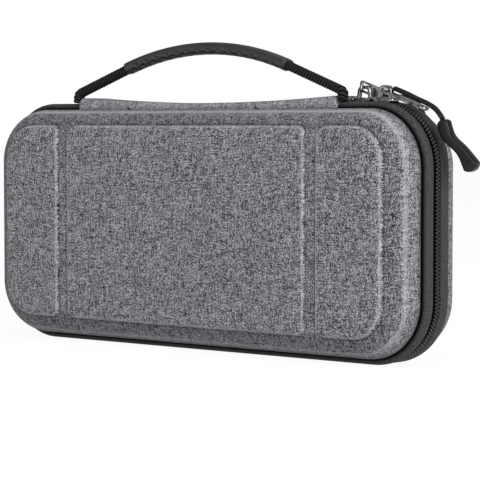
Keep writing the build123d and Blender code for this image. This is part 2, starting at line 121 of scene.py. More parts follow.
def counted(tree, places, pitch):
    """Places counted in threads of a pitch, and their X, Y and Z."""
    threads = scaled(tree, places, calc(tree, "DIVIDE", 1.0, pitch))
    return threads, put(tree, "ShaderNodeSeparateXYZ", {0: threads}).outputs


def noise(tree, scale, detail, places=None):
    """Cloudy noise, in the piece's own space unless places are given."""
    if places is None:
        places = put(tree, "ShaderNodeTexCoord").outputs["Object"]
    inputs = {"Vector": places, "Scale": scale, "Detail": detail}
    return put(tree, "ShaderNodeTexNoise", inputs).outputs["Fac"]


def woven(tree, group, **values):
    """The outputs of a weave that is laid on the unrolled cloth."""
    places = put(tree, "ShaderNodeUVMap", uv_map="UVMap").outputs[0]
    return put(tree, "ShaderNodeGroup", {"Vector": places, **values}, node_tree=group).outputs


def new_group(name, kind, takes, gives):
    """A node group with named sockets, and its ends for joining up."""
    group = bpy.data.node_groups.new(name, kind)
    for label, socket, value in takes:
        made = group.interface.new_socket(name=label, in_out="INPUT", socket_type=socket)
        if value is not None:
            made.default_value = value
    for label, socket in gives:
        group.interface.new_socket(name=label, in_out="OUTPUT", socket_type=socket)
    return group, group.nodes.new("NodeGroupInput").outputs, group.nodes.new("NodeGroupOutput").inputs


def heather_group():
    """Melange weave: each crossing has its own tone, and stretches of thread run pale both ways."""
    group, take, give = new_group(
        "Heather weave",
        "ShaderNodeTree",
        [
            ("Vector", "NodeSocketVector", None),
            ("Thread", "NodeSocketFloat", 0.0004),
            ("Slub", "NodeSocketFloat", 8.0),
            ("Dark", "NodeSocketColor", None),
            ("Pale", "NodeSocketColor", None),
            ("Crest", "NodeSocketFloat", 0.0),
        ],
        [("Color", "NodeSocketColor"), ("Height", "NodeSocketFloat")],
    )

    def chance(dimensions, **inputs):
        made = put(group, "ShaderNodeTexWhiteNoise", inputs, noise_dimensions=dimensions)
        return made.outputs["Value"]

    threads, split = counted(group, take["Vector"], take["Thread"])
    crossing = put(group, "ShaderNodeVectorMath", {0: threads}, operation="FLOOR").outputs[0]
    tone = calc(group, "POWER", chance("2D", Vector=crossing), fleck_power)
    for along, across, seed in (("X", "Y", 3.0), ("Y", "X", 7.0)):
        strand = calc(group, "FLOOR", split[across])
        stretches = calc(group, "DIVIDE", split[along], take["Slub"])
        part = calc(group, "FLOOR", calc(group, "ADD", stretches, chance("1D", W=strand)))
        piece = put(group, "ShaderNodeCombineXYZ", {"X": strand, "Y": part, "Z": seed})
        shade = chance("3D", Vector=piece.outputs[0])
        tone = calc(group, "MULTIPLY_ADD", calc(group, "SUBTRACT", shade, 0.5), slub_share, tone)
    # Painted light and shade from the last input: above nothing it evens the tone towards one paler
    # tone, and it scales the colour up as a painted highlight and down as painted shade.
    highlight_share = calc(group, "MAXIMUM", take["Crest"], 0.0)
    even = calc(group, "SUBTRACT", highlight_tone, tone)
    tone = calc(group, "MULTIPLY_ADD", even, highlight_share, tone)
    colour = between(group, tone, take["Dark"], take["Pale"])
    gain = calc(group, "MULTIPLY_ADD", take["Crest"], painted_light_gain, 1.0)
    group.links.new(scaled(group, colour, gain), give["Color"])
    over = calc(group, "SINE", calc(group, "MULTIPLY", split["X"], pi))
    under = calc(group, "SINE", calc(group, "MULTIPLY", split["Y"], pi))
    relief = calc(group, "MULTIPLY", over, under)
    group.links.new(calc(group, "MULTIPLY_ADD", tone, 0.6, relief), give["Height"])
    return group


heather = heather_group()


def new_material(name, roughness, **constants):
    """A material with its principled shader, for colour and relief to be joined to."""
    material = bpy.data.materials.new(name)
    material.use_nodes = True
    shader = material.node_tree.nodes["Principled BSDF"]
    shader.inputs["Roughness"].default_value = roughness
    for label, value in constants.items():
        shader.inputs[label.replace("_", " ")].default_value = value
    return material, material.node_tree, shader


def raise_relief(tree, shader, height, strength, distance):
    bump = put(
        tree, "ShaderNodeBump", {"Strength": strength, "Distance": distance, "Height": height}
    )
    tree.links.new(bump.outputs[0], shader.inputs["Normal"])


def cloth_material(name):
    material, tree, shader = new_material(
        name, 0.88, Sheen_Weight=0.05, Sheen_Roughness=0.5, Specular_IOR_Level=0.25
    )
    # The crest attribute holds the painted highlights and painted shade marked on the cloth.
    crest = put(tree, "ShaderNodeAttribute", attribute_name="crest").outputs["Fac"]
    weave = woven(
        tree,
        heather,
        Thread=cloth_thread,
        Slub=slub_run,
        Dark=cloth_dark,
        Pale=cloth_pale,
        Crest=crest,
    )
    tree.links.new(weave["Color"], shader.inputs["Base Color"])
    raise_relief(tree, shader, weave["Height"], 0.35, 0.00012)
    return material


def lining_material():
    """Short brushed nap, slightly uneven."""
    material, tree, shader = new_material("Brushed lining", 0.95, Sheen_Weight=0.3)
    nap = noise(tree, 900.0, 3.0)
    tone = calc(tree, "MULTIPLY_ADD", noise(tree, 60.0, 2.0), 0.5, nap)
    tree.links.new(between(tree, tone, lining_black, lining_grey), shader.inputs["Base Color"])
    raise_relief(tree, shader, nap, 0.3, 0.0002)
    return material


shell_cloth = cloth_material("Heather cloth")
brushed_lining = lining_material()


def shown(name, data):
    """An object in the scene."""
    made = bpy.data.objects.new(name, data)
    bpy.context.scene.collection.objects.link(made)
    return made


def mark(mesh, label, tone):
    """Gives each point a value from its place in millimetres, under a label for materials."""
    values = [tone(*(1000 * c for c in vertex.co)) for vertex in mesh.vertices]
    mesh.attributes.new(label, "FLOAT", "POINT").data.foreach_set("value", values)


def make_piece(name, points, faces, flat=None, finishes=(), which=None, sharp=None):
    """A smooth mesh from points in millimetres, like points joined and faces turned outwards."""
    mesh = bpy.data.meshes.new(name)
    mesh.from_pydata([tuple(0.001 * float(c) for c in p) for p in points], [], faces)
    if flat is not None:
        layer = mesh.uv_layers.new(name="UVMap")
        for loop in mesh.loops:
            layer.data[loop.index].uv = [0.001 * float(c) for c in flat[loop.vertex_index]]
    if which is not None:
        mesh.polygons.foreach_set("material_index", which)
    return finish_piece(name, mesh, finishes, sharp)


def finish_piece(name, mesh, finishes, sharp=None):
    work = bmesh.new()
    work.from_mesh(mesh)
    bmesh.ops.remove_doubles(work, verts=work.verts, dist=1e-7)
    bmesh.ops.dissolve_degenerate(work, edges=work.edges, dist=1e-7)
    bmesh.ops.recalc_face_normals(work, faces=work.faces)
    work.to_mesh(mesh)
    work.free()
    mesh.shade_smooth()
    if sharp is not None:
        mesh.set_sharp_from_angle(angle=radians(sharp))
    for material in finishes:
        mesh.materials.append(material)
    return shown(name, mesh)


def skin(rings, count, closed=False):
    """Faces over rings of points that follow each other, with both ends capped unless closed."""
    faces = []
    for ring in range(rings if closed else rings - 1):
        a = ring * count
        b = (ring + 1) % rings * count
        for i in range(count):
            j = (i + 1) % count
            faces.append((a + i, a + j, b + j, b + i))
    if not closed:
        faces.append(tuple(range(count)))
        faces.append(tuple(range((rings - 1) * count, rings * count)))
    return faces


def grid(first, rows, cols):
    """Faces over rows of points that follow each other."""
    starts = [first + row * cols + i for row in range(rows - 1) for i in range(cols - 1)]
    return [(a, a + 1, a + cols + 1, a + cols) for a in starts]


def spread(start, *runs):
    """Places from `start` on, in runs that each have their end and their largest step."""
    lines = [start]
    for end, step in runs:
        count = ceil((end - start) / step)
        lines += [start + (end - start) * (i + 1) / count for i in range(count)]
        start = end
    return np.array(lines)


def around_core(x_lines, z_lines, arc_steps):
    """Points on the core rectangle and the ways out from them, clockwise from the top left."""
    spots = [(x, core_high, 0.0, 1.0) for x in x_lines[:-1]]
    sides = [
        (core_x, core_high, 90, [(core_x, z, 1.0, 0.0) for z in z_lines[::-1][:-1]]),
        (core_x, core_low, 0, [(x, core_low, 0.0, -1.0) for x in x_lines[::-1][:-1]]),
        (-core_x, core_low, -90, [(-core_x, z, -1.0, 0.0) for z in z_lines[:-1]]),
        (-core_x, core_high, 180, []),
    ]
    for x, z, start, after in sides:
        for step in range(arc_steps + (0 if after else 1)):
            turn = radians(start - 90 * step / arc_steps)
            spots.append((x, z, cos(turn), sin(turn)))
        spots += after
    return np.array(spots)


def shell(name, side, x_lines, z_lines, arc_steps, outer, inner, finishes, rise=None, crest=None):
    """A dished half from rings: outside from the rim to the core, and the lined inside."""
    spots = around_core(x_lines, z_lines, arc_steps)
    points = []
    flat = []
    faces = []
    which = []

    def rings(profile, finish, lifted):
        before = None
        for inset, depth, drawn in profile:
            place = spots[:, :2] + spots[:, 2:] * (zip_corner - inset)
            lift = rise(place[:, 0], place[:, 1]) if lifted and rise else np.zeros(len(place))
            first = len(points)
            for (x, z), up in zip(place, lift):
                points.append((x, side * (rim_y + depth + up), z))
            unrolled = spots[:, :2] + spots[:, 2:] * (zip_corner - drawn)
            flat.extend(unrolled)
            now = list(range(first, len(points)))
            if before:
                add_band(before, now, finish)
            before = now
        core = grid(len(points), len(z_lines), len(x_lines))
        faces.extend(core)
        which.extend([finish] * len(core))
        for z in z_lines:
            lift = rise(x_lines, np.full(len(x_lines), z)) if lifted and rise else 0 * x_lines
            for x, up in zip(x_lines, lift):
                points.append((x, side * (rim_y + profile[-1][1] + up), z))
                flat.append((x, z))

    def add_band(a, b, finish):
        for i in range(len(a)):
            j = (i + 1) % len(a)
            faces.append((a[i], a[j], b[j], b[i]))
            which.append(finish)

    rings(outer, 0, True)
    inside = len(points)
    rings(inner, 1, False)
    count = len(spots)
    add_band(list(range(count)), list(range(inside, inside + count)), 1)
    piece = make_piece(name, points, faces, flat, finishes, which)
    # Painted highlights and painted shade, if given, are marked on the cloth's points.
    if crest:
        mark(piece.data, "crest", lambda x, y, z: crest(x, side * y - rim_y, z))
    return piece


def dish(depth, turns, face_insets):
    """Profile of a shell: straight rim, rounded edge and face, as (inset, depth, unrolled inset)."""
    face = shell_inset + edge_round
    straight = depth - edge_round
    profile = [(shell_inset, 0.0, face - edge_round * pi / 2 - straight)]
    for turn in turns:
        q = radians(turn)
        trough = min(max((turn - ridge_turn) / (trough_end - ridge_turn), 0), 1)
        inset = shell_inset + edge_round * (1 - cos(q))
        sunk = trough_depth * sin(pi * trough) ** 2
        profile.append(
            (inset, straight + edge_round * sin(q) - sunk, face - edge_round * (pi / 2 - q))
        )
    return profile + [(inset, depth, inset) for inset in face_insets]


def upward(x, z):
    """One along the top side, falling to nothing round the corners."""
    over_x = max(abs(x) - core_x, 0)
    over_z = max(z - core_high, 0)
    return over_z / max((over_x**2 + over_z**2) ** 0.5, 0.001)


def ridge_light_and_shade(x, depth, z):
    """Painted highlight along the rounded edge, less painted shade in the trough inside it; along the
    top the highlight lies nearer to the rim and is stronger.
    """
    top_side = upward(x, z) ** 2
    crest = ridge_turn - ridge_rise * top_side
    turn = degrees(asin(min(max((depth - rim_straight) / edge_round, 0), 1)))
    width = ridge_inner if turn > crest else ridge_outer
    gain = ridge_highlight_gain * (1 + ridge_top_highlight_gain * top_side)
    ridge = gain * np.exp(-(((turn - crest) / width) ** 2))
    trough = trough_shade_gain * np.exp(-(((turn - trough_turn) / trough_width) ** 2))
    return float(ridge - trough)


def dish_inside(depth, steps):
    inside = shell_inset + shell_wall
    bend = edge_round - shell_wall
    straight = depth - shell_wall - bend
    profile = [(inside, 0.0, inside)]
    for step in range(steps + 1):
        q = radians(90 * step / steps)
        inset = inside + bend * (1 - cos(q))
        profile.append((inset, straight + bend * sin(q), inset))
    return profile + [(24.0, depth - shell_wall, 24.0), (30.0, depth - shell_wall, 30.0)]


# Its cloth is painted with a highlight along the rounded edge and with shade in the trough inside it.
back_shell = shell(
    "back_shell_cloth",
    1,
    spread(-core_x, (core_x, 6.0)),
    spread(core_low, (core_high, 6.0)),
    20,
    dish(back_depth, spread(0, (20, 5.0), (50, 2.5), (90, 5.0)), [20.0, 24.0, 30.0]),
    dish_inside(back_depth, 8),
    [shell_cloth, brushed_lining],
    crest=ridge_light_and_shade,
)
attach(back_shell, "back_half")
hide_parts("back_shell")


# Front shell: the same moulding with one wide and two narrow raised panels. Their edges are pressed
# to a soft shoulder with a sharp crease at the foot. The cloth is painted paler on the shoulders and
# the edge ridge as painted highlights, and darker in the creases, the trough and along the rim by the
# zipper as painted shade.
front_depth = 15.4
panel_lift = 1.2
panel_low = 13.0
panel_high = 110.0
middle_half = 73.5
side_inner = 80.0
side_outer = 116.0
inner_corner = 5.0
outer_corner = 17.0
shoulder = 1.7
crease_width = 0.55
crease_depth = 0.3
crease_out = 0.45
# Painted highlight on the panel shoulders, painted shade in the creases and along the rim by the zipper:
shoulder_highlight = 0.6
shoulder_in = 0.6
shoulder_spread = 0.7
crease_shade = 0.6
crease_spread = 0.32
rim_shade = 0.65
rim_top_shade = 0.25
rim_spread = 1.8


def edge_distance(x, z, centre, half, low, high, left_corner, right_corner):
    """Distance outside a rounded outline, negative within it."""
    dx = x - centre
    corner = np.where(dx > 0, right_corner, left_corner)
    qx = np.abs(dx) - half + corner
    qz = np.abs(z - (low + high) / 2) - (high - low) / 2 + corner
    outside = np.hypot(np.maximum(qx, 0), np.maximum(qz, 0))
    return np.minimum(np.maximum(qx, qz), 0) + outside - corner


def panel_distance(x, z):
    centre = (side_inner + side_outer) / 2
    half = (side_outer - side_inner) / 2
    tall = (panel_low, panel_high)
    middle = edge_distance(x, z, 0.0, middle_half, *tall, inner_corner, inner_corner)
    right = edge_distance(x, z, centre, half, *tall, inner_corner, outer_corner)
    left = edge_distance(x, z, -centre, half, *tall, outer_corner, inner_corner)
    return np.minimum(middle, np.minimum(left, right))


def panel_rise(x, z):
    """Height of the panels above the face, less the crease at their feet."""
    inward = np.clip((0.35 - panel_distance(x, z)) / shoulder, 0, 1)
    crease = np.exp(-(((panel_distance(x, z) - crease_out) / crease_width) ** 2))
    return panel_lift * np.sqrt(1 - (1 - inward) ** 2) - crease_depth * crease


def front_cloth_painted_light(x, depth, z):
    """Painted highlights on the shoulders and edge ridge; painted shade in the creases, trough and rim.
    """
    out = float(panel_distance(np.array([x]), np.array([z]))[0])
    shoulder_highlight_tone = shoulder_highlight * np.exp(-(((out + shoulder_in) / shoulder_spread) ** 2))
    crease_shade_tone = crease_shade * np.exp(-(((out - crease_out) / crease_spread) ** 2))
    rim_shade_gain = rim_shade + rim_top_shade * upward(x, z)
    rim_shade_tone = rim_shade_gain * np.exp(-((depth / rim_spread) ** 2))
    edge_tone = ridge_light_and_shade(x, depth, z) if out > 0 else 0.0
    return float(shoulder_highlight_tone + edge_tone - crease_shade_tone - rim_shade_tone)


front_shell = shell(
    "front_shell_cloth",
    -1,
    spread(-core_x, (-87, 2.4), (-68, 0.42), (68, 5.0), (87, 0.42), (core_x, 2.4)),
    spread(core_low, (core_high, 3.0)),
    28,
    dish(front_depth, spread(0, (18, 4.0), (90, 1.5)), [18.6, 19.4, 21.0, 24.0, 30.0]),
    dish_inside(front_depth, 8),
    [shell_cloth, brushed_lining],
    panel_rise,
    front_cloth_painted_light,
)
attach(front_shell, "front_half")
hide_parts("front_shell")


# Zipper tapes: woven polyester, rolled over a filler to a padded band and sewn down into the groove
# beside each rim. A thin ledge of the tape runs on under the teeth.
tape_dark = (0.008, 0.008, 0.0083, 1.0)
tape_pale = (0.080, 0.080, 0.082, 1.0)
zip_top = 121.0
cut_turn = asin(7.0 / zip_corner)
top_half = core_x
side_run = core_high - core_low
corner_run = zip_corner * pi / 2
loop_run = 4 * top_half + 2 * side_run + 4 * corner_run
run_start = top_half + zip_corner * cut_turn
tape_gap = 0.15
ledge_depth = 1.45
ledge_under = 1.9
roll_round = 2.7
roll_inset = 3.7
end_shorter = 0.3
end_start = 80.6
front_roll = 4.0
back_roll = 1.7
# Painted shade, black and without reflection, in the groove beside the rim and on the ledge under the
# teeth:
shade_black = (0.002, 0.002, 0.002, 1.0)
twill_shine = 0.25
groove_from = 1.0
groove_fade = 1.7


def twill_group():
    """Diagonal ribs of a twill, uneven from thread to thread."""
    group, take, give = new_group(
        "Twill weave",
        "ShaderNodeTree",
        [
            ("Vector", "NodeSocketVector", None),
            ("Pitch", "NodeSocketFloat", 0.001),
            ("Dark", "NodeSocketColor", None),
            ("Pale", "NodeSocketColor", None),
        ],
        [("Color", "NodeSocketColor"), ("Height", "NodeSocketFloat")],
    )
    threads, split = counted(group, take["Vector"], take["Pitch"])
    slant = calc(group, "ADD", split["X"], split["Y"])
    ribs = calc(group, "SINE", calc(group, "MULTIPLY", slant, 2 * pi))
    tone = calc(group, "MULTIPLY_ADD", ribs, 0.22, noise(group, 1.1, 2.0, threads))
    spread_tone = put(
        group, "ShaderNodeMapRange", {"Value": tone, "From Min": 0.28, "From Max": 0.72}
    ).outputs[0]
    colour = between(group, spread_tone, take["Dark"], take["Pale"])
    group.links.new(colour, give["Color"])
    group.links.new(tone, give["Height"])
    return group


twill = twill_group()


def twill_material(name, dark, pale, pitch):
    """Twill, painted black and without reflection as painted shade where the piece's own attribute for
    it says.
    """
    material, tree, shader = new_material(name, 0.8)
    weave = woven(tree, twill, Pitch=pitch, Dark=dark, Pale=pale)
    painted_shade = put(tree, "ShaderNodeAttribute", attribute_name="painted_shade").outputs["Fac"]
    tree.links.new(between(tree, painted_shade, weave["Color"], shade_black), shader.inputs["Base Color"])
    shine = calc(tree, "MULTIPLY_ADD", painted_shade, -twill_shine, twill_shine)
    tree.links.new(shine, shader.inputs["Specular IOR Level"])
    raise_relief(tree, shader, weave["Height"], 0.4, 0.0002)
    return material


tape_cloth = twill_material("Zipper tape", tape_dark, tape_pale, 0.0011)


def zip_place(along):
    """Place and way out on the zipper's line, `along` millimetres clockwise from the top middle."""
    along %= loop_run
    legs = [
        (top_half, (0, zip_top), (1, 0)),
        (corner_run, (core_x, core_high), 90),
        (side_run, (core_x + zip_corner, core_high), (0, -1)),
        (corner_run, (core_x, core_low), 0),
        (2 * top_half, (core_x, 0), (-1, 0)),
        (corner_run, (-core_x, core_low), -90),
        (side_run, (-core_x - zip_corner, core_low), (0, 1)),
        (corner_run, (-core_x, core_high), 180),
        (top_half, (-core_x, zip_top), (1, 0)),
    ]
    for length, (x, z), way in legs:
        if along <= length:
            break
        along -= length
    if isinstance(way, tuple):
        return x + way[0] * along, z + way[1] * along, -way[1], way[0]
    turn = radians(way) - along / zip_corner
    return x + zip_corner * cos(turn), z + zip_corner * sin(turn), cos(turn), sin(turn)


def sweep(places, runs, section):
    """Points, faces and unrolled places of a closed section (y, outwards) drawn along places."""
    points = []
    flat = []
    across = [0.0]
    for (y0, n0), (y1, n1) in zip(section, section[1:]):
        across.append(across[-1] + ((y1 - y0) ** 2 + (n1 - n0) ** 2) ** 0.5)
    for (x, z, out_x, out_z), run in zip(places, runs):
        for (y, n), v in zip(section, across):
            points.append((x + out_x * n, y, z + out_z * n))
            flat.append((run, v))
    return points, skin(len(places), len(section)), flat


def tape_section(side, edge):
    """Ledge under the teeth, padded roll, sewn groove beside the rim, and the underside."""
    roll = edge - roll_inset
    inner = front_roll if side < 0 else back_roll
    shape = [(tape_gap, -ledge_depth), (inner - 0.3, -ledge_depth), (inner, -0.8)]
    shape += [(inner + 0.6, -0.3), (inner + 1.8, 0.0)]
    for step in range(9):
        turn = radians(90 - 11 * step)
        shape.append((roll + roll_round * cos(turn), roll_round * (sin(turn) - 1)))
    shape += [(edge - 0.95, -4.2), (edge - 0.1, -4.35), (edge - 0.1, -4.6), (edge - 1.3, -4.6)]
    shape += [(edge - 1.6, -3.2)]
    shape += [(y, -ledge_under) for y in (edge - 3.0, edge - 4.0, tape_gap)]
    return [(side * y, n) for y, n in shape]


def zip_band(name, sides, edge, start, end, step):
    points = []
    faces = []
    flat = []
    runs = spread(start, (end, step))
    places = [zip_place(run) for run in runs]
    for side in sides:
        more, bands, unrolled = sweep(places, runs, tape_section(side, edge))
        faces += [tuple(len(points) + i for i in face) for face in bands]
        points += more
        flat += unrolled
    tape = make_piece(name, points, faces, flat, [tape_cloth], sharp=50)
    mark(tape.data, "painted_shade", groove_and_ledge_shade)
    return tape


def groove_and_ledge_shade(x, y, z):
    """Painted shade: black in the groove beside the rim and on the ledge under the teeth."""
    near_x = min(max(x, -core_x), core_x)
    near_z = min(max(z, core_low), core_high)
    out = ((x - near_x) ** 2 + (z - near_z) ** 2) ** 0.5 - zip_corner
    groove = min(max((-groove_from - out) / groove_fade, 0), 1)
    inner = front_roll if y < 0 else back_roll
    ledge = min(max((inner + 0.2 - abs(y)) / 0.3, 0), 1)
    return max(groove, ledge)


for side, half, label in ((-1, "front_half", "front"), (1, "back_half", "back")):
    tape = zip_band(f"{label}_zip_tape", [side], rim_y, run_start, loop_run - run_start, 2.0)
    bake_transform(tape)
    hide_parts(f"{label}_tape")
for label, start, end in (
    ("right", end_start, run_start - end_shorter),
    ("left", loop_run - run_start + end_shorter, loop_run - end_start),
):
    tape = zip_band(f"{label}_zip_end", [-1, 1], rim_y - end_shorter, start, end, 1.5)
    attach(tape, "spine")
    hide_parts(f"{label}_end_tape")


# Zipper teeth: two coils of plastic wire sewn on the tapes. Each turn of the wire shows as a bead,
# and the beads of one coil sit between those of the other.
tooth_pitch = 0.0017
bead_size = (0.00062, 0.00085, 0.0008)
bead_row = 0.00075
bead_middle = -0.0006
bead_sunk = 0.0008
coil_black = (0.012, 0.012, 0.012, 1.0)
coil_grey = (0.040, 0.040, 0.041, 1.0)


def coil_material():
    material, tree, shader = new_material("Zipper coil", 0.42)
    dust = noise(tree, 300.0, 2.0)
    tree.links.new(between(tree, dust, coil_black, coil_grey), shader.inputs["Base Color"])
    tree.links.new(calc(tree, "MULTIPLY_ADD", dust, 0.25, 0.3), shader.inputs["Roughness"])
    return material


zip_coil = coil_material()


def beads_tree():
    """Beads set along a line at a pitch, each turned to the line's run."""
    tree, take, give = new_group(
        "Coil beads",
        "GeometryNodeTree",
        [
            ("Line", "NodeSocketGeometry", None),
            ("Pitch", "NodeSocketFloat", 0.0017),
            ("Bead", "NodeSocketVector", None),
            ("Material", "NodeSocketMaterial", None),
        ],
        [("Beads", "NodeSocketGeometry")],
    )
    line = put(tree, "GeometryNodeMeshToCurve", {"Mesh": take["Line"]}).outputs[0]
    steps = put(
        tree, "GeometryNodeResampleCurve", {"Curve": line, "Length": take["Pitch"]}, mode="LENGTH"
    ).outputs[0]
    ball = put(
        tree, "GeometryNodeMeshUVSphere", {"Segments": 8, "Rings": 5, "Radius": 1.0}
    ).outputs["Mesh"]
    bead = put(
        tree, "GeometryNodeTransform", {"Geometry": ball, "Scale": take["Bead"]}
    ).outputs[0]
    run = put(tree, "GeometryNodeInputTangent").outputs[0]
    turn = put(
        tree, "FunctionNodeAlignRotationToVector", {"Vector": run}, axis="X", pivot_axis="Y"
    ).outputs[0]
    placed = put(
        tree, "GeometryNodeInstanceOnPoints", {"Points": steps, "Instance": bead, "Rotation": turn}
    ).outputs[0]
    real = put(tree, "GeometryNodeRealizeInstances", {"Geometry": placed}).outputs[0]
    smooth = put(tree, "GeometryNodeSetShadeSmooth", {"Geometry": real}).outputs[0]
    done = put(
        tree, "GeometryNodeSetMaterial", {"Geometry": smooth, "Material": take["Material"]}
    ).outputs[0]
    tree.links.new(done, give["Beads"])
    return tree


coil_beads = beads_tree()


def grown(name, mesh, tree, values):
    """The mesh that a tree makes of another mesh, as a plain mesh of its own."""
    source = shown(name, mesh)
    modifier = source.modifiers.new("Grow", "NODES")
    modifier.node_group = tree
    for item in tree.interface.items_tree:
        if item.item_type == "SOCKET" and item.name in values:
            modifier[item.identifier] = values[item.name]
    seen = source.evaluated_get(bpy.context.evaluated_depsgraph_get())
    made = bpy.data.meshes.new_from_object(seen)
    source.modifiers.remove(modifier)
    bpy.data.objects.remove(source)
    return shown(name, made)


def tooth_rows(name, rows, start, end):
    points = []
    edges = []
    for row, shift in rows:
        first = len(points)
        for run in spread(start + shift, (end - 0.9, 0.8)):
            x, z, out_x, out_z = zip_place(run)
            sunk = 1000 * bead_sunk
            points.append((0.001 * (x - out_x * sunk), row, 0.001 * (z - out_z * sunk)))
        edges += [(i, i + 1) for i in range(first, len(points) - 1)]
    mesh = bpy.data.meshes.new(name + "_line")
    mesh.from_pydata(points, edges, [])
    return grown(
        name,
        mesh,
        coil_beads,
        {"Pitch": tooth_pitch, "Bead": bead_size, "Material": zip_coil},
    )


half_pitch = 500 * tooth_pitch
for row, half, label, shift in (
    (bead_middle - bead_row, "front_half", "front", 0.5),
    (bead_middle + bead_row, "back_half", "back", 0.5 + half_pitch),
):
    teeth = tooth_rows(f"{label}_teeth", [(row, shift)], run_start, loop_run - run_start)
    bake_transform(teeth)
    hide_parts(f"{label}_coil")
for label, start, end in (
    ("right", end_start, run_start),
    ("left", loop_run - run_start, loop_run - end_start),
):
    both = [(bead_middle - bead_row, 0.9), (bead_middle + bead_row, 0.9 + half_pitch)]
    teeth = tooth_rows(f"{label}_end_teeth", both, start, end)
    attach(teeth, "spine")
    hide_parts(f"{label}_end_coil")


# Spine: a padded strip of the same cloth between the two rims. The handle draws its ends up, and it
# is rolled under along both sides, where it is sewn to the shells.
spine_half = 80.3
spine_side = 10.4
spine_low = 117.4
spine_mid = 120.9
spine_end = 124.0
spine_round = 2.4
roll_wide = 2.0
# Painted highlight on the rolled sides; the rest of the strip is a little paler:
roll_highlight = 0.4
top_pale = 0.1


def spine_top(x):
    rise = spine_end - spine_mid
    arc = (spine_half**2 + rise**2) / (2 * rise)
    return spine_mid + arc - (arc**2 - x**2) ** 0.5


def spine_ring(x, inset):
    """Section of the strip at x, drawn in by `inset` towards its end."""
    top = spine_top(x) - inset
    side = spine_side - 0.5 * inset
    bend = min(spine_round, (top - spine_low) / 2)
    ring = [(-side, spine_low + 0.5), (-side, top - bend)]
    for step in range(1, 7):
        turn = radians(180 - 15 * step)
        ring.append((-side + bend + bend * cos(turn), top - bend + bend * sin(turn)))
    for y in spread(-side + bend, (side - bend, 1.6))[1:]:
        ring.append((y, top))
    for step in range(1, 7):
        turn = radians(90 - 15 * step)
        ring.append((side - bend + bend * cos(turn), top - bend + bend * sin(turn)))
    ring += [(side, spine_low + 0.5), (side - 0.7, spine_low), (-side + 0.7, spine_low)]
    return [(x, y, z) for y, z in ring]


spine_stations = [
    (-spine_half + spine_round * (1 - cos(t)), spine_round * (1 - sin(t)))
    for t in spread(0, (pi / 2, 0.25))
]
spine_stations += [(x, 0.0) for x in spread(-77.0, (77.0, 3.0))]
spine_stations += [(-x, inset) for x, inset in spine_stations[::-1][-7:]]
spine_points = []
spine_flat = []
for x, inset in spine_stations:
    ring = spine_ring(x, inset)
    v = 0.0
    last = ring[0]
    for point in ring:
        v += ((point[1] - last[1]) ** 2 + (point[2] - last[2]) ** 2) ** 0.5
        last = point
        spine_points.append(point)
        spine_flat.append((x, v))
spine_count = len(spine_points) // len(spine_stations)
spine_faces = skin(len(spine_stations), spine_count)
spine_faces[-1] = tuple(range(len(spine_points) - spine_count, len(spine_points)))
spine = make_piece("spine_cloth", spine_points, spine_faces, spine_flat, [shell_cloth], sharp=60)
# Painted highlight along the rolled sides; elsewhere the cloth is a little paler and more even.
mark(
    spine.data,
    "crest",
    lambda x, y, z: roll_highlight if abs(y) > spine_side - roll_wide else top_pale,
)
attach(spine, "spine")
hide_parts("spine_band")


# Handle webbing: a narrow black strap woven with slanting ribs, sewn down at the front corners of
# the spine, bent up sharply and run through the grip. The handle leans a little to the back.
webbing_half = 2.5
webbing_thick = 3.9
webbing_black = (0.003, 0.003, 0.003, 1.0)
webbing_grey = (0.045, 0.045, 0.046, 1.0)
handle_foot = -7.9
handle_lean = radians(6.0)
grip_turn = radians(20.95)
grip_arc = 50.7 / sin(grip_turn)
grip_centre = 29.5 - grip_arc
strap_arc = grip_arc - 3.0
foot_x = 82.1
strap_bend = 3.0
rib_pitch = 1.7
rib_height = 0.4
ring_steps = 28


def leaned(x, up, across):
    """A point of the handle, from its height above the zipper and its place from front to back."""
    return (
        x,
        handle_foot + up * sin(handle_lean) + across * cos(handle_lean),
        zip_top + up * cos(handle_lean) - across * sin(handle_lean),
    )


def strap_line():
    """Places and ways out along half the strap, from its foot to the middle of the grip."""
    out_x = strap_arc * sin(grip_turn)
    out_up = grip_centre + strap_arc * cos(grip_turn)
    bend_up = out_up - (foot_x - out_x) * np.tan(grip_turn)
    turn = pi / 2 - grip_turn
    cut = strap_bend * np.tan(turn / 2)
    line = [(foot_x, up, 1.0, 0.0) for up in spread(0.3, (bend_up - cut, 0.4))]
    for step in spread(0, (turn, 0.12))[1:]:
        x = foot_x - strap_bend + strap_bend * cos(step)
        line.append((x, bend_up - cut + strap_bend * sin(step), cos(step), sin(step)))
    x0, up0 = line[-1][:2]
    for part in spread(0, (1, 0.016))[1:]:
        place = (x0 + (out_x - x0) * part, up0 + (out_up - up0) * part)
        line.append((*place, sin(grip_turn), cos(grip_turn)))
    for step in spread(0, (grip_turn, 0.012))[1:]:
        a = grip_turn - step
        line.append((strap_arc * sin(a), grip_centre + strap_arc * cos(a), sin(a), cos(a)))
    return line


right_line = strap_line()
strap_places = right_line + [(-x, up, -nx, nu) for x, up, nx, nu in right_line[::-1][1:]]
strap_runs = [0.0]
for (x0, up0, _, _), (x1, up1, _, _) in zip(strap_places, strap_places[1:]):
    strap_runs.append(strap_runs[-1] + ((x1 - x0) ** 2 + (up1 - up0) ** 2) ** 0.5)


def strap_section(run):
    """Rounded section of the strap, its ribs standing out on a slant, with painted shade between them.
    """
    loop = []
    for step in range(ring_steps):
        turn = 2 * pi * step / ring_steps
        c, s = cos(turn), sin(turn)
        y = webbing_half * np.sign(c) * abs(c) ** 0.5
        n = webbing_thick / 2 * np.sign(s) * abs(s) ** 0.6
        slant = 0.3 * y if n >= 0 else -0.3 * y
        rib = abs(sin(pi * (run + slant) / rib_pitch))
        rise = rib_height * (rib - 0.4)
        loop.append((y + rise * c, n + rise * s, 1 - rib**2))
    return loop


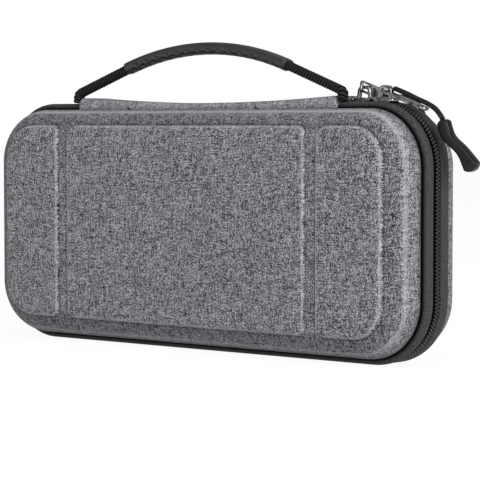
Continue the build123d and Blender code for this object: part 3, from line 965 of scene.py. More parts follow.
strap_points = []
strap_rib_shade = []
strap_flat = []
for (x, up, nx, nu), run in zip(strap_places, strap_runs):
    for step, (y, n, painted_shade) in enumerate(strap_section(run)):
        strap_points.append(leaned(x + nx * n, up + nu * n, y))
        strap_rib_shade.append(painted_shade)
        strap_flat.append((run, 0.6 * step))
strap_faces = skin(len(strap_places), ring_steps)
webbing_cloth = twill_material("Handle webbing", webbing_black, webbing_grey, 0.0008)
webbing = make_piece("handle_strap", strap_points, strap_faces, strap_flat, [webbing_cloth])
# Painted shade between the ribs.
between_ribs = webbing.data.attributes.new("painted_shade", "FLOAT", "POINT")
between_ribs.data.foreach_set("value", strap_rib_shade)
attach(webbing, "spine")
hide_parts("handle_webbing")


# Grip: a sleeve moulded in satin rubber round the strap, crowned on top, with a bellied underside
# that is pierced with staggered blind holes.
grip_half = 4.2
grip_thick = 6.0
grip_edge = 3.6
hole_pitch = 0.0065
hole_rows = 0.0024
hole_radius = 0.0012
hole_depth = 0.0010
grip_black = (0.013, 0.013, 0.013, 1.0)
grip_grey = (0.028, 0.028, 0.028, 1.0)


def rubber_material(name, dark, pale, roughness, shine):
    """Moulded rubber with a fine even grain and a slightly uneven gloss."""
    material, tree, shader = new_material(name, roughness, Specular_IOR_Level=shine)
    clouds = noise(tree, 90.0, 3.0)
    tree.links.new(between(tree, clouds, dark, pale), shader.inputs["Base Color"])
    gloss = calc(tree, "MULTIPLY_ADD", clouds, 0.16, roughness - 0.08)
    tree.links.new(gloss, shader.inputs["Roughness"])
    raise_relief(tree, shader, noise(tree, 2200.0, 2.0), 0.15, 0.00008)
    return material


grip_rubber = rubber_material("Satin rubber", grip_black, grip_grey, 0.42, 0.5)


def holes_tree():
    """Sinks round holes into a surface, in rows set half a pitch apart."""
    tree, take, give = new_group(
        "Grip holes",
        "GeometryNodeTree",
        [
            ("Surface", "NodeSocketGeometry", None),
            ("Pitch", "NodeSocketFloat", 0.0065),
            ("Row Pitch", "NodeSocketFloat", 0.0024),
            ("Radius", "NodeSocketFloat", 0.0012),
            ("Depth", "NodeSocketFloat", 0.0006),
            ("Material", "NodeSocketMaterial", None),
        ],
        [("Surface", "NodeSocketGeometry")],
    )
    along = put(tree, "GeometryNodeInputNamedAttribute", {"Name": "along"}).outputs[0]
    across = put(tree, "GeometryNodeInputNamedAttribute", {"Name": "across"}).outputs[0]
    row = calc(tree, "ROUND", calc(tree, "DIVIDE", across, take["Row Pitch"]))
    off_row = calc(tree, "SUBTRACT", across, calc(tree, "MULTIPLY", row, take["Row Pitch"]))
    odd = calc(tree, "MODULO", calc(tree, "ABSOLUTE", row), 2.0)
    shift = calc(tree, "MULTIPLY", calc(tree, "SUBTRACT", 1.0, odd), 0.5)
    place = calc(tree, "SUBTRACT", calc(tree, "DIVIDE", along, take["Pitch"]), shift)
    off = calc(tree, "SUBTRACT", place, calc(tree, "ROUND", place))
    off_run = calc(tree, "MULTIPLY", off, take["Pitch"])
    reach = calc(
        tree,
        "SQRT",
        calc(tree, "ADD", calc(tree, "POWER", off_run, 2.0), calc(tree, "POWER", off_row, 2.0)),
    )
    lip = calc(tree, "MULTIPLY", take["Radius"], 1.1)
    floor = calc(tree, "MULTIPLY", take["Radius"], 0.8)
    sunk = put(
        tree,
        "ShaderNodeMapRange",
        {"Value": reach, "From Min": lip, "From Max": floor, "To Min": 0.0, "To Max": take["Depth"]},
        interpolation_type="SMOOTHSTEP",
    ).outputs[0]
    below = put(tree, "GeometryNodeInputNamedAttribute", {"Name": "below"}).outputs[0]
    push = calc(tree, "MULTIPLY", calc(tree, "MULTIPLY", sunk, below), -1.0)
    normal = put(tree, "GeometryNodeInputNormal").outputs[0]
    offset = scaled(tree, normal, push)
    moved = put(
        tree, "GeometryNodeSetPosition", {"Geometry": take["Surface"], "Offset": offset}
    ).outputs[0]
    real = put(tree, "GeometryNodeRealizeInstances", {"Geometry": moved}).outputs[0]
    done = put(
        tree, "GeometryNodeSetMaterial", {"Geometry": real, "Material": take["Material"]}
    ).outputs[0]
    tree.links.new(done, give["Surface"])
    return tree


def grip_section():
    """Section of the grip as (y, depth below the crown, way round the belly, share of underside)."""
    belly = grip_thick - grip_edge
    belly_arc = (grip_half**2 + belly**2) / (2 * belly)
    crown = grip_edge / 3
    crown_arc = (grip_half**2 + crown**2) / (2 * crown)
    edge = [
        (grip_half - 0.1, crown + 0.1),
        (grip_half, crown + 0.5),
        (grip_half, grip_edge - 0.6),
        (grip_half - 0.1, grip_edge - 0.1),
    ]
    loop = []
    for y in spread(-grip_half + 0.3, (grip_half - 0.3, 0.6)):
        loop.append((y, crown_arc - (crown_arc**2 - y**2) ** 0.5, y, 0.0))
    loop += [(y, depth, y, 0.0) for y, depth in edge]
    for y in spread(-grip_half + 0.3, (grip_half - 0.3, 0.2))[::-1]:
        depth = grip_thick - belly_arc + (belly_arc**2 - y**2) ** 0.5
        loop.append((y, depth, belly_arc * asin(y / belly_arc), 1.0))
    loop += [(-y, depth, -y, 0.0) for y, depth in edge[::-1]]
    return loop


grip_loop = grip_section()
grip_points = []
grip_marks = []
grip_turns = spread(-grip_turn, (grip_turn, 0.0026))
for turn in grip_turns:
    end = min(grip_turn - abs(turn), 0.008) / 0.008
    draw = 0.9 + 0.1 * (1 - (1 - end) ** 2) ** 0.5
    near = 1.0 if abs(turn) < grip_turn - 0.03 else 0.0
    for y, depth, round_belly, below in grip_loop:
        radius = grip_arc - grip_thick / 2 + (grip_thick / 2 - depth) * draw
        up = grip_centre + radius * cos(turn)
        grip_points.append(leaned(radius * sin(turn), up, y * draw))
        along = (grip_arc - grip_thick) * turn
        grip_marks.append((0.001 * along, 0.001 * round_belly, below * near))
grip_faces = skin(len(grip_turns), len(grip_loop))
grip_mesh = bpy.data.meshes.new("grip_sleeve_blank")
grip_mesh.from_pydata([tuple(0.001 * c for c in p) for p in grip_points], [], grip_faces)
for index, label in enumerate(("along", "across", "below")):
    marks = grip_mesh.attributes.new(label, "FLOAT", "POINT")
    marks.data.foreach_set("value", [m[index] for m in grip_marks])
grip_work = bmesh.new()
grip_work.from_mesh(grip_mesh)
bmesh.ops.recalc_face_normals(grip_work, faces=grip_work.faces)
grip_work.to_mesh(grip_mesh)
grip_work.free()
grip_mesh.shade_smooth()
grip = grown(
    "grip_sleeve",
    grip_mesh,
    holes_tree(),
    {
        "Pitch": hole_pitch,
        "Row Pitch": hole_rows,
        "Radius": hole_radius,
        "Depth": hole_depth,
        "Material": grip_rubber,
    },
)
grip.data.set_sharp_from_angle(angle=radians(60))
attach(grip, "spine")
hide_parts("handle_grip")


# Sliders: die-cast zinc plated to a dark nickel. An upper and a lower plate on a post hold the two
# coils between their lips, and the crown on top carries the pull.
slider_1_x = 90.2
slider_2_x = 101.2
lean = radians(6.0)
slider_long = 10.6
slider_wide = 9.0
plate_low = 0.35
plate_high = 1.85
plate_edge = 0.45
lower_thick = 1.5
lower_middle = -3.65
post_half = 0.8
post_high = 4.2
post_place = (-2.65, 0, -1.3)
lip_thick = 0.8
lip_inset = 0.75
crown_long = 8.2
crown_high = 5.6
crown_bar = 1.6
crown_shift = -1.0
crown_half = 1.3
nickel = (0.52, 0.52, 0.53, 1.0)
nickel_dark = (0.05, 0.05, 0.052, 1.0)


def metal_material():
    """Dark nickel plate with fine handling marks, an uneven gloss, and a painted reflection in dark and
    pale patches of its colour.
    """
    material, tree, shader = new_material("Dark nickel", 0.24, Metallic=1.0)
    clouds = noise(tree, 260.0, 3.0)
    # Painted reflection: large dark and pale patches of the plate's colour.
    reflection_patches = calc(tree, "MULTIPLY_ADD", clouds, 3.0, -1.05)
    tree.links.new(between(tree, reflection_patches, nickel_dark, nickel), shader.inputs["Base Color"])
    tree.links.new(calc(tree, "MULTIPLY_ADD", clouds, 0.18, 0.10), shader.inputs["Roughness"])
    raise_relief(tree, shader, noise(tree, 1500.0, 1.0), 0.08, 0.00005)
    return material


dark_nickel = metal_material()


def plate(outlines, thick, edge, place):
    """A flat plate with holes and rounded edges, from closed outlines, as a mesh put in its place."""
    curve = bpy.data.curves.new("plate", "CURVE")
    curve.dimensions = "2D"
    curve.fill_mode = "BOTH"
    curve.extrude = thick / 2 - edge
    curve.bevel_depth = edge
    curve.bevel_resolution = 2
    curve.offset = -edge
    for outline in outlines:
        spline = curve.splines.new("POLY")
        spline.points.add(len(outline) - 1)
        for point, (x, y) in zip(spline.points, outline):
            point.co = (x, y, 0.0, 1.0)
        spline.use_cyclic_u = True
    blank = shown("plate", curve)
    seen = blank.evaluated_get(bpy.context.evaluated_depsgraph_get())
    mesh = bpy.data.meshes.new_from_object(seen)
    bpy.data.objects.remove(blank)
    mesh.transform(place)
    mesh.transform(Matrix.Scale(0.001, 4))
    return mesh


def joined(name, meshes, finishes, sharp):
    work = bmesh.new()
    for mesh in meshes:
        work.from_mesh(mesh)
    whole = bpy.data.meshes.new(name)
    work.to_mesh(whole)
    work.free()
    return finish_piece(name, whole, finishes, sharp)


def rounded(points, radii, steps=6):
    """A closed outline with its corners rounded."""
    shape = []
    count = len(points)
    for i in range(count):
        corner = Vector(points[i])
        back = (Vector(points[i - 1]) - corner).normalized()
        ahead = (Vector(points[(i + 1) % count]) - corner).normalized()
        radius = radii[i]
        half = back.angle(ahead) / 2
        reach = radius / np.tan(half)
        centre = corner + (back + ahead).normalized() * (radius / sin(half))
        start = corner + back * reach - centre
        end = corner + ahead * reach - centre
        turn = start.angle_signed(end)
        for step in range(steps + 1):
            shape.append(tuple(centre + Matrix.Rotation(-turn * step / steps, 2) @ start))
    return shape


def oblong(x0, x1, half, radius, steps):
    """A rectangle from x0 to x1 with rounded corners."""
    return rounded([(x0, -half), (x1, -half), (x1, half), (x0, half)], [radius] * 4, steps)


def frame_at(origin, x_way, z_way):
    x = Vector(x_way).normalized()
    z = Vector(z_way).normalized()
    y = z.cross(x)
    turn = Matrix((x, y, z)).transposed().to_4x4()
    return Matrix.Translation(Vector(origin)) @ turn


def slider(name, node, origin, x_way, z_way):
    level = frame_at(origin, x_way, z_way)
    upright = level @ Matrix.Rotation(pi / 2, 4, "X")
    long = slider_long / 2
    wide = slider_wide / 2
    body = rounded(
        [(-long, -wide * 0.66), (long * 0.45, -wide), (long, -wide * 0.55), (long, wide * 0.55),
         (long * 0.45, wide), (-long, wide * 0.66)],
        [1.6, 2.2, 1.6, 1.6, 2.2, 1.6],
    )
    middle = Matrix.Translation((0, 0, (plate_low + plate_high) / 2))
    upper = plate([body], plate_high - plate_low, plate_edge, level @ middle)
    below = Matrix.Translation((0, 0, lower_middle))
    lower = plate([body], lower_thick, plate_edge, level @ below)
    post_outline = oblong(-post_half, post_half, post_half, 0.2, 2)
    post = plate([post_outline], post_high, 0.1, level @ Matrix.Translation(post_place))
    half = crown_long / 2
    top = plate_high + crown_high
    arch = rounded(
        [
            (crown_shift - half, 1.2),
            (crown_shift + half, 1.2),
            (crown_shift + half - 0.5, top),
            (crown_shift - half + 1.1, top),
        ],
        [0.3, 0.3, 2.4, 2.8],
    )
    hole = rounded(
        [
            (crown_shift - half + 1.7, plate_high),
            (crown_shift + half - 1.7, plate_high),
            (crown_shift + half - 2.0, top - crown_bar),
            (crown_shift - half + 2.2, top - crown_bar),
        ],
        [0.3, 0.3, 1.2, 1.4],
    )
    crown = plate([arch, hole], 2 * crown_half, plate_edge, upright)
    lip = rounded(
        [(-long + 0.8, -0.55), (long - 1.2, -0.55), (long - 0.9, 1.5), (-long + 0.5, 1.5)],
        [0.35] * 4,
        3,
    )
    lips = []
    for side in (-1, 1):
        out = Matrix.Translation((0, 0, side * (wide - lip_inset)))
        lips.append(plate([lip], lip_thick, 0.25, upright @ out))
    piece = joined(name, [upper, lower, post, crown] + lips, [dark_nickel], 35)
    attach(piece, "spine")
    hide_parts(node)


slider("inner_slider", "slider_1", (slider_1_x, 0, zip_top), (1, 0, 0), (0, 0, 1))
slider(
    "outer_slider",
    "slider_2",
    (slider_2_x, 0, zip_top),
    (cos(lean), 0, -sin(lean)),
    (sin(lean), 0, cos(lean)),
)


# End stops: small staples of plated metal, clamped over both coils beside the handle's feet so that
# a slider can't run off.
stop_from = 83.5
stop_to = 84.6
stop_half = 3.0
stop_thick = 1.7
for side, label in ((1, "right"), (-1, "left")):
    place = (side * (stop_from + stop_to) / 2, 0, zip_top + stop_thick / 2)
    outline = oblong(-0.55, 0.55, stop_half, 0.3, 3)
    staple = plate([outline], stop_thick, 0.4, Matrix.Translation(place))
    stop = joined(f"{label}_stop_staple", [staple], [dark_nickel], 35)
    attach(stop, "spine")
    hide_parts(f"{label}_end_stop")


# Pull tabs: flat pressed bars of the same plated metal, with a loop round the crown at one end and
# an eye for the cord at the other.
tab_long = 25.0
tab_half = 2.8
tab_thick = 1.4
tab_bar = 1.6
loop_long = 7.0
loop_half = 1.7
tab_1_half = 2.6
tab_1_ahead = 2.8
eye_radius = 1.6
hang_1 = Vector((89.2, 0.0, 127.65))
hang_2 = Vector((100.09, 0.0, 125.742))
fall_1 = radians(13.0)
fall_2 = radians(20.0)


def ring_of(x, radius, count=20):
    return [
        (x + radius * cos(2 * pi * i / count), radius * sin(2 * pi * i / count))
        for i in range(count)
    ]


def pull_tab(name, node, body, place, start_half):
    start = -tab_bar / 2
    outline = rounded(
        [
            (start, -start_half),
            (tab_long - tab_half, -tab_half),
            (tab_long - tab_half, tab_half),
            (start, start_half),
        ],
        [1.2, 0.01, 0.01, 1.2],
        4,
    )
    nose = [
        (tab_long - tab_half + tab_half * cos(a), tab_half * sin(a))
        for a in spread(-pi / 2, (pi / 2, 0.25))
    ]
    outline = outline[:5] + nose + outline[-5:]
    loop = oblong(tab_bar / 2, tab_bar / 2 + loop_long, loop_half, 0.6, 4)
    mesh = plate([outline, loop, ring_of(tab_long - tab_half, eye_radius)], tab_thick, 0.35, place)
    tab = joined(name, [mesh], [dark_nickel], 35)
    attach(tab, body)
    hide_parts(node)


tab_1_way = Vector((0, cos(fall_1), -sin(fall_1)))
tab_2_way = Vector((cos(fall_2), 0, -sin(fall_2)))
pull_tab(
    "inner_tab",
    "pull_tab_1",
    "inner_pull",
    frame_at(hang_1 - tab_1_way * tab_1_ahead, tab_1_way, (1, 0, 0)),
    tab_1_half,
)
pull_tab(
    "outer_tab",
    "pull_tab_2",
    "outer_pull",
    frame_at(hang_2, tab_2_way, (sin(fall_2), 0, cos(fall_2))),
    tab_half,
)


# Pull ends: curved flat clubs with rounded edges, moulded in black rubber on the ends of the cords.
# Their outline swings out to a round tip, so that fingers hold them.
end_thick = 4.6
club_under = [(-2.7, -1.4), (0.3, -7.8), (7.8, -14.2), (11.6, -21.5)]
club_tip = (16.3, -21.3)
club_over = [(18.2, -17.7), (11.4, -10.8), (5.4, -5.6), (2.7, 0.9)]
club_head = (-0.9, 1.2)
inner_tip = hang_1 + Vector((15.2, 31.0, -23.0))
outer_tip = hang_2 + Vector((31.4, 0.0, -12.9))
inner_club_shift = Vector((0.0, 0.0, -1.9))
outer_club_shift = Vector((0.6, 0.0, -1.5))
club_black = (0.003, 0.003, 0.003, 1.0)
club_grey = (0.008, 0.008, 0.008, 1.0)
club_rubber = rubber_material("Pull rubber", club_black, club_grey, 0.3, 0.3)


def smooth_run(points, steps):
    """A smooth line through points, by cubic pieces."""
    knots = np.array([(2 * points[0][0] - points[1][0], 2 * points[0][1] - points[1][1])] + points
                     + [(2 * points[-1][0] - points[-2][0], 2 * points[-1][1] - points[-2][1])])
    line = []
    for i in range(1, len(knots) - 2):
        a, b, c, d = knots[i - 1], knots[i], knots[i + 1], knots[i + 2]
        for step in range(steps):
            t = step / steps
            line.append(tuple(
                0.5 * (2 * b + (c - a) * t + (2 * a - 5 * b + 4 * c - d) * t**2
                       + (3 * b - a - 3 * c + d) * t**3)
            ))
    return line + [points[-1]]


def through(a, b, c, steps):
    """Arc from a by b to c."""
    ax, ay = a
    bx, by = b
    cx, cy = c
    d = 2 * (ax * (by - cy) + bx * (cy - ay) + cx * (ay - by))
    ux = ((ax**2 + ay**2) * (by - cy) + (bx**2 + by**2) * (cy - ay) + (cx**2 + cy**2) * (ay - by)) / d
    uy = ((ax**2 + ay**2) * (cx - bx) + (bx**2 + by**2) * (ax - cx) + (cx**2 + cy**2) * (bx - ax)) / d
    centre = Vector((ux, uy))
    start = Vector(a) - centre
    turn = start.angle_signed(Vector(b) - centre) + (Vector(b) - centre).angle_signed(Vector(c) - centre)
    return [
        tuple(centre + Matrix.Rotation(-turn * i / steps, 2) @ start) for i in range(1, steps)
    ]


def pull_club(name, node, body, place):
    outline = smooth_run(club_under, 8)
    outline += through(club_under[-1], club_tip, club_over[0], 8)
    outline += smooth_run(club_over, 8)
    outline += through(club_over[-1], club_head, club_under[0], 6)
    club = joined(name, [plate([outline], end_thick, 0.9, place)], [club_rubber], 35)
    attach(club, body)
    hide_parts(node)
    return club


end_lean = radians(38.0)
inner_club = pull_club(
    "inner_pull_club",
    "pull_end_1",
    "inner_pull",
    frame_at(inner_tip + inner_club_shift, (cos(end_lean), 0, -sin(end_lean)), (0, -1, 0)),
)
outer_club = pull_club(
    "outer_pull_club",
    "pull_end_2",
    "outer_pull",
    frame_at(outer_tip + outer_club_shift, (1, 0, 0), (0, -1, 0)),
)


# Pull cords: round black braid, threaded through the eye of each tab and moulded into its pull end.
# Each is one free cord that hangs from its tab.
cord_half = 0.0012
cord_black = (0.003, 0.003, 0.003, 1.0)
cord_grey = (0.020, 0.020, 0.0205, 1.0)
inner_cord_points = [
    (-1.0, 18.9, -4.3),
    (4.4, 19.2, -3.9),
    (10.3, 22.5, -5.0),
    (14.2, 27.8, -9.2),
    (15.2, 31.0, -23.0),
]
outer_cord_points = [
    (3.5, 3.2, 1.2),
    (10.4, 1.4, -0.8),
    (16.9, 1.0, -3.6),
    (23.7, 0.6, -6.0),
    (28.8, 0.3, -9.1),
    (31.4, 0.0, -12.9),
]


def cord_material():
    """Fine braid: a slanting wave with some fuzz, from the cord's own place in space."""
    material, tree, shader = new_material("Braided cord", 0.55, Specular_IOR_Level=0.3)
    places = put(tree, "ShaderNodeTexCoord").outputs["Object"]
    strands = put(
        tree,
        "ShaderNodeTexWave",
        {"Vector": places, "Scale": 420.0, "Distortion": 1.5, "Detail": 1.0},
        bands_direction="DIAGONAL",
    ).outputs["Fac"]
    tone = calc(tree, "MULTIPLY", strands, noise(tree, 1800.0, 2.0))
    tree.links.new(between(tree, tone, cord_black, cord_grey), shader.inputs["Base Color"])
    raise_relief(tree, shader, strands, 0.4, 0.0002)
    return material


braid = cord_material()


def pull_cord(name, node, body, hang, offsets):
    curve = bpy.data.curves.new(name, "CURVE")
    curve.dimensions = "3D"
    curve.bevel_depth = cord_half
    curve.bevel_resolution = 4
    curve.use_fill_caps = True
    curve.resolution_u = 10
    spline = curve.splines.new("NURBS")
    spline.points.add(len(offsets) - 1)
    for point, offset in zip(spline.points, offsets):
        point.co = (*(0.001 * (hang + Vector(offset))), 1.0)
    spline.order_u = 3
    spline.use_endpoint_u = True
    curve.materials.append(braid)
    cord = shown(name, curve)
    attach(cord, body)
    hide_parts(node)


pull_cord(
    "inner_cord",
    "pull_cord_1",
    "inner_pull",
    hang_1,
    inner_cord_points,
)
pull_cord(
    "outer_cord",
    "pull_cord_2",
    "outer_pull",
    hang_2,
    outer_cord_points,
)


# Console tray: a block of soft foam under the brushed lining, pressed to a recess for the console with
# a finger notch through its upper and lower walls. It is glued into the back shell.
tray_inset = 7.9
tray_front = 1.0
tray_back = 23.5
tray_bend = 11.5
recess_half = 120.0
recess_low = 9.3
recess_high = 111.7
recess_corner = 20.0
recess_depth = 13.0
recess_wall = 1.4
notch_half = 22.0
notch_depth = 9.0
notch_wall = 2.0


def pressed(out, wall):
    """How far a pressed form is down: not at all at its edge, fully where its wall ends."""
    share = np.clip(-out / wall, 0, 1)
    return share**2 * (3 - 2 * share)


def tray_sink(x, z):
    corners = (recess_corner, recess_corner)
    out = edge_distance(x, z, 0.0, recess_half, recess_low, recess_high, *corners)
    recess = recess_depth * pressed(out, recess_wall)
    return np.maximum(recess, notch_depth * pressed(np.abs(x) - notch_half, notch_wall))


def tray_rings():
    """Rings of the tray's open face and of its rounded back, as the shells' are given."""
    low = tray_front - rim_y
    face = [(tray_inset, low + 1.0, 0), (tray_inset + 0.1, low + 0.4, 0), (tray_inset + 0.4, low, 0)]
    face += [(inset, low, inset) for inset in spread(8.6, (13.4, 0.3), (30.0, 4.0))]
    back = []
    for turn in spread(0, (90, 10.0)):
        q = radians(turn)
        inset = tray_inset + tray_bend * (1 - cos(q))
        back.append((inset, tray_back - rim_y - tray_bend * (1 - sin(q)), inset))
    return face, back + [(24.0, tray_back - rim_y, 24.0), (30.0, tray_back - rim_y, 30.0)]


tray = shell(
    "console_tray_foam",
    1,
    spread(-core_x, (-23, 6.0), (-19, 0.4), (19, 6.0), (23, 0.4), (core_x, 6.0)),
    spread(core_low, (core_high, 6.0)),
    18,
    *tray_rings(),
    [brushed_lining, brushed_lining],
    tray_sink,
)
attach(tray, "back_half")
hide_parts("console_tray")


# Rim bindings: black twill tape folded over the raw edges of shell, zipper and lining, and sewn down
# all the way round each half.
binding_black = (0.004, 0.004, 0.0042, 1.0)
binding_grey = (0.035, 0.035, 0.036, 1.0)
binding_from = 4.95
binding_to = 7.55
binding_low = 9.7
binding_thick = 1.0
binding_edge = 0.3
binding_step = 0.7
binding_line = 24.0
binding_cloth = twill_material("Rim binding", binding_black, binding_grey, 0.0011)


def binding(name, side):
    spots = around_core(spread(-core_x, (core_x, 8.0)), spread(core_low, (core_high, 8.0)), 14)
    ends = [
        (binding_from, binding_edge),
        (binding_from + binding_edge, 0.0),
        (binding_to - binding_edge, 0.0),
        (binding_to, binding_edge),
    ]
    section = ends + [(inset, binding_thick - y) for inset, y in ends[::-1]]
    points = []
    flat = []
    run = 0.0
    last = spots[0]
    for spot in spots:
        here = spot[:2] + binding_line * spot[2:]
        run += float(np.hypot(*(here - last[:2] - binding_line * last[2:])))
        last = spot
        for step, (inset, y) in enumerate(section):
            x, z = spot[:2] + spot[2:] * (zip_corner - inset)
            points.append((x, side * (binding_low + y), z))
            flat.append((run, binding_step * step))
    return make_piece(name, points, skin(len(spots), len(section), True), flat, [binding_cloth])


for side, half, label in ((-1, "front_half", "front"), (1, "back_half", "back")):
    edge = binding(f"{label}_rim_binding", side)
    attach(edge, half)
    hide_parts(f"{label}_binding")


# Pocket elastic: a gathered band along the open edge of the net pocket, its ends sewn under the rim
# binding. The gathers show as fine upright ribs.
elastic_half = 122.1
elastic_low = 84.0
elastic_high = 87.0
elastic_y = -11.1
elastic_thick = 2.2
gather_pitch = 2.4
gather_depth = 0.12
elastic_steps = 12
elastic_points = []
elastic_flat = []
elastic_xs = spread(-elastic_half, (elastic_half, 0.6))
for x in elastic_xs:
    swell = 1 - gather_depth * (1 + sin(2 * pi * x / gather_pitch)) / 2
    for step in range(elastic_steps):
        turn = 2 * pi * step / elastic_steps
        y = elastic_thick / 2 * swell * np.sign(cos(turn)) * abs(cos(turn)) ** 0.6
        up = (elastic_high - elastic_low) / 2 * np.sign(sin(turn)) * abs(sin(turn)) ** 0.6
        elastic_points.append((x, elastic_y + y, (elastic_low + elastic_high) / 2 + up))
        elastic_flat.append((x, 0.8 * step))
elastic_faces = skin(len(elastic_xs), elastic_steps)
elastic = make_piece("pocket_band", elastic_points, elastic_faces, elastic_flat, [binding_cloth])
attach(elastic, "front_half")
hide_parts("pocket_elastic")


# Net pocket: see-through knitted net, stretched over the lower part of the front half. It is sewn in
# with the rim round its lower edge and ends at the elastic.
pocket_inset = 6.9
pocket_y = -11.1
pocket_bag = 0.5
net_pitch = 0.0026
net_thread = 0.2
net_black = (0.012, 0.012, 0.013, 1.0)
net_grey = (0.050, 0.050, 0.053, 1.0)


def net_group():
    """Two slanting sets of threads; Thread is 1 on them and 0 in the openings between."""
    group, take, give = new_group(
        "Knitted net",
        "ShaderNodeTree",
        [
            ("Vector", "NodeSocketVector", None),
            ("Pitch", "NodeSocketFloat", 0.0026),
            ("Width", "NodeSocketFloat", 0.2),
        ],
        [("Thread", "NodeSocketFloat"), ("Height", "NodeSocketFloat")],
    )
    split = counted(group, take["Vector"], take["Pitch"])[1]
    slants = [calc(group, way, split["X"], split["Y"]) for way in ("ADD", "SUBTRACT")]
    closest = calc(group, "MINIMUM", *(calc(group, "PINGPONG", slant, 0.5) for slant in slants))
    group.links.new(calc(group, "LESS_THAN", closest, take["Width"]), give["Thread"])
    group.links.new(calc(group, "SUBTRACT", 0.5, closest), give["Height"])
    return group


knitted_net = net_group()


def net_material(name, pitch, open_net):
    material, tree, shader = new_material(name, 0.8)
    net = woven(tree, knitted_net, Pitch=pitch, Width=net_thread)
    tree.links.new(between(tree, net["Height"], net_black, net_grey), shader.inputs["Base Color"])
    if open_net:
        tree.links.new(net["Thread"], shader.inputs["Alpha"])
    raise_relief(tree, shader, net["Height"], 0.4, 0.0003)
    return material


pocket_points = []
pocket_flat = []
pocket_cols = 60
pocket_corner = zip_corner - pocket_inset
pocket_zs = spread(pocket_inset, (core_low, 1.6), (elastic_low + 0.6, 3.0))
for z in pocket_zs:
    half = core_x + (pocket_corner**2 - max(core_low - z, 0) ** 2) ** 0.5
    for col in range(pocket_cols + 1):
        x = half * (2 * col / pocket_cols - 1)
        bag = sin(pi * col / pocket_cols) * sin(pi * (z - pocket_inset) / (elastic_low - pocket_inset))
        pocket_points.append((x, pocket_y - pocket_bag * bag, z))
        pocket_flat.append((x, z))
pocket_faces = grid(0, len(pocket_zs), pocket_cols + 1)
pocket_net = net_material("Pocket net", net_pitch, True)
pocket = make_piece("pocket_net", pocket_points, pocket_faces, pocket_flat, [pocket_net])
pocket_area = 2 * (core_x + pocket_corner) * (elastic_low - pocket_inset)
pocket_area -= (2 - pi / 2) * pocket_corner**2
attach(pocket, "front_half")
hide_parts("mesh_pocket")


# Divider flap: a thin pad of foam in the brushed lining that keeps the console off the pocket. A
# strip of its lining runs up to the rim, where it is sewn in and folds.
flap_half = 114.0
flap_low = 14.0
flap_high = 108.0
flap_corner = 8.0
flap_back = -9.4
flap_front = -6.4
flap_edge = 1.2
flap_crown = 0.25
strip_half = 75.3
strip_high = 115.4


def pad(half, low, high, corner, rings):
    """Points and faces of a flat pad, from rings (inset, y) that run from one face to the other."""
    points = []
    steps = 6
    for inset, y in rings:
        bend = max(corner - inset, 0.05)
        wide = half - inset - bend
        tops = ((wide, high - inset - bend, 90), (wide, low + inset + bend, 0))
        feet = ((-wide, low + inset + bend, -90), (-wide, high - inset - bend, 180))
        for x, z, start in tops + feet:
            for step in range(steps + 1):
                turn = radians(start - 90 * step / steps)
                points.append((x + bend * cos(turn), y, z + bend * sin(turn)))
    return points, skin(len(rings), 4 * (steps + 1))


def pad_rings(back, front, edge, crown):
    """Rings of a pad with rounded edges and softly crowned faces."""
    half = (front - back) / 2
    middle = (front + back) / 2
    side = []
    for turn in spread(0, (90, 18.0)):
        q = radians(turn)
        side.append((edge * (1 - cos(q)), half - crown - edge * (1 - sin(q))))
    side += [(edge + reach, half - crown * np.exp(-reach / 5.0)) for reach in (1.5, 4.0, 9.0, 20.0)]
    near = [(inset, middle - y) for inset, y in side[::-1]]
    return near + [(inset, middle + y) for inset, y in side]


flap_points, flap_faces = pad(
    flap_half, flap_low, flap_high, flap_corner, pad_rings(flap_back, flap_front, flap_edge, flap_crown)
)
strip_y = (flap_back + flap_front) / 2
strip_rings = [(0.3, strip_y - 0.5), (0.0, strip_y - 0.2), (0.0, strip_y + 0.2), (0.3, strip_y + 0.5)]
strip_points, strip_faces = pad(strip_half, flap_high - 2.0, strip_high, 0.5, strip_rings)
flap_faces += [tuple(len(flap_points) + i for i in face) for face in strip_faces]
flap = make_piece(
    "divider_flap", flap_points + strip_points, flap_faces, finishes=[brushed_lining], sharp=60
)
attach(flap, "front_half")
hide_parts("card_flap")


# Card pockets: two rows of close-knit net sewn on the flap, stitched through between the pockets so
# that each swells a little between the sunk lines.
cards_half = 106.0
cards_high = 38.0
cards_rows = (22.0, 62.0)
cards_base = -6.5
cards_thick = 1.1
cards_pitch = 42.0
line_half = 1.2
line_depth = 0.6
cards_rim = 1.0
cards_net = net_material("Close net", 0.0012, False)


def cards_height(x, z, low):
    """Swell of a row of pockets: down at the stitched lines, rounded at its edges."""
    off = abs((x + cards_pitch / 2) % cards_pitch - cards_pitch / 2)
    sunk = line_depth * np.exp(-((off / line_half) ** 2))
    edge = min(cards_half - abs(x), z - low, low + cards_high - z)
    return cards_thick * min(1.0, 0.45 + edge / 0.8) - sunk


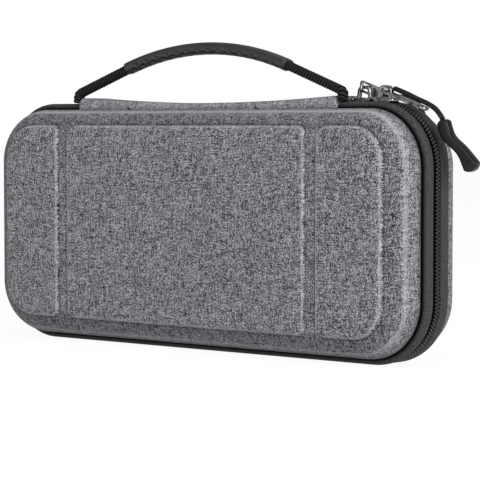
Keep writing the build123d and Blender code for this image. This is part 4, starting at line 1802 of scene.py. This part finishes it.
cards_points = []
cards_flat = []
cards_faces = []
lines = []
for middle in range(-2, 3):
    lines += list(middle * cards_pitch + spread(-3.0, (3.0, 0.5)))
cards_near = cards_half - cards_rim
lines += list(spread(-cards_half, (-cards_near, 0.25), (cards_near, 4.0), (cards_half, 0.25)))
cards_xs = np.array(sorted(lines))
for low in cards_rows:
    high = low + cards_high
    cards_zs = spread(low, (low + cards_rim, 0.25), (high - cards_rim, 4.0), (high, 0.25))
    first = len(cards_points)
    wide = len(cards_xs)
    for z in cards_zs:
        for x in cards_xs:
            cards_points.append((x, cards_base + cards_height(x, z, low), z))
            cards_flat.append((x, z))
    cards_faces += grid(first, len(cards_zs), wide)
    rim = list(range(first, first + wide))
    rim += [first + row * wide + wide - 1 for row in range(1, len(cards_zs))]
    rim += list(range(len(cards_points) - 2, len(cards_points) - wide - 1, -1))
    rim += [first + row * wide for row in range(len(cards_zs) - 2, 0, -1)]
    under = len(cards_points)
    for index in rim:
        cards_points.append((cards_points[index][0], cards_base, cards_points[index][2]))
        cards_flat.append(cards_flat[index])
    for i in range(len(rim)):
        j = (i + 1) % len(rim)
        cards_faces.append((rim[i], rim[j], under + j, under + i))
    cards_faces.append(tuple(range(under, under + len(rim))))
cards = make_piece("card_pocket_rows", cards_points, cards_faces, cards_flat, [cards_net], sharp=60)
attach(cards, "front_half")
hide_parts("card_pockets")


# Studio: a pale floor that looks white to the camera and keeps a faint shadow, one large soft light
# from the right, a smaller one from the front and a dim one from above.
floor_half = 6.0
floor_drop = 0.0002
floor_grey = (0.8, 0.8, 0.8, 1.0)
floor_white = 1.08
floor_share = 0.86
sky_level = 0.35
camera_place = (0.6123, -0.7707, 0.1112)
camera_aim = (0.01607, 0.0, 0.05425)
camera_lens = 150.3


def floor_material():
    material = bpy.data.materials.new("Studio floor")
    material.use_nodes = True
    tree = material.node_tree
    tree.nodes.clear()
    matt = put(tree, "ShaderNodeBsdfDiffuse", {"Color": floor_grey})
    white = put(tree, "ShaderNodeEmission", {"Color": (1.0, 1.0, 1.0, 1.0), "Strength": floor_white})
    path = put(tree, "ShaderNodeLightPath")
    seen = calc(tree, "MAXIMUM", path.outputs["Is Camera Ray"], path.outputs["Is Glossy Ray"])
    share = calc(tree, "MULTIPLY", seen, floor_share)
    mixed = put(tree, "ShaderNodeMixShader", {0: share, 1: matt.outputs[0], 2: white.outputs[0]})
    out = put(tree, "ShaderNodeOutputMaterial")
    tree.links.new(mixed.outputs[0], out.inputs[0])
    return material


floor_mesh = bpy.data.meshes.new("studio_floor")
floor_mesh.from_pydata(
    [(floor_half * x, floor_half * y, -floor_drop) for x, y in ((-1, -1), (1, -1), (1, 1), (-1, 1))],
    [],
    [(0, 1, 2, 3)],
)
floor_mesh.materials.append(floor_material())
floor = shown("studio_floor", floor_mesh)

world = bpy.data.worlds.new("Studio")
bpy.context.scene.world = world
world.use_nodes = True
sky = world.node_tree
backdrop = sky.nodes["Background"]
backdrop.inputs["Color"].default_value = (1.0, 1.0, 1.0, 1.0)
path = put(sky, "ShaderNodeLightPath")
seen = calc(sky, "MAXIMUM", path.outputs["Is Camera Ray"], path.outputs["Is Transmission Ray"])
level = calc(sky, "MULTIPLY_ADD", seen, 1 - sky_level, sky_level)
sky.links.new(level, backdrop.inputs["Strength"])


def aimed(made, place, aim):
    made.location = place
    made.rotation_euler = (Vector(aim) - Vector(place)).to_track_quat("-Z", "Y").to_euler()


def softbox(name, place, aim, wide, high, watts):
    lamp = bpy.data.lights.new(name, "AREA")
    lamp.shape = "RECTANGLE"
    lamp.size = wide
    lamp.size_y = high
    lamp.energy = watts
    aimed(shown(name, lamp), place, aim)


softbox("key_light", (2.2, -0.8, 0.75), aim=(0.02, 0, 0.06), wide=1.2, high=1.2, watts=45.0)
softbox("top_light", (0.1, 0.35, 1.2), aim=(0, 0, 0.08), wide=0.9, high=0.5, watts=1.5)
softbox("front_light", (0.1, -1.4, 0.5), aim=(0, 0, 0.06), wide=0.9, high=0.6, watts=6.5)

lens = bpy.data.cameras.new("Photograph")
lens.sensor_width = 36.0
lens.lens = camera_lens
lens.clip_start = 0.01
eye = shown("Photograph", lens)
aimed(eye, camera_place, camera_aim)
bpy.context.scene.camera = eye
bpy.context.scene.view_settings.view_transform = "Standard"
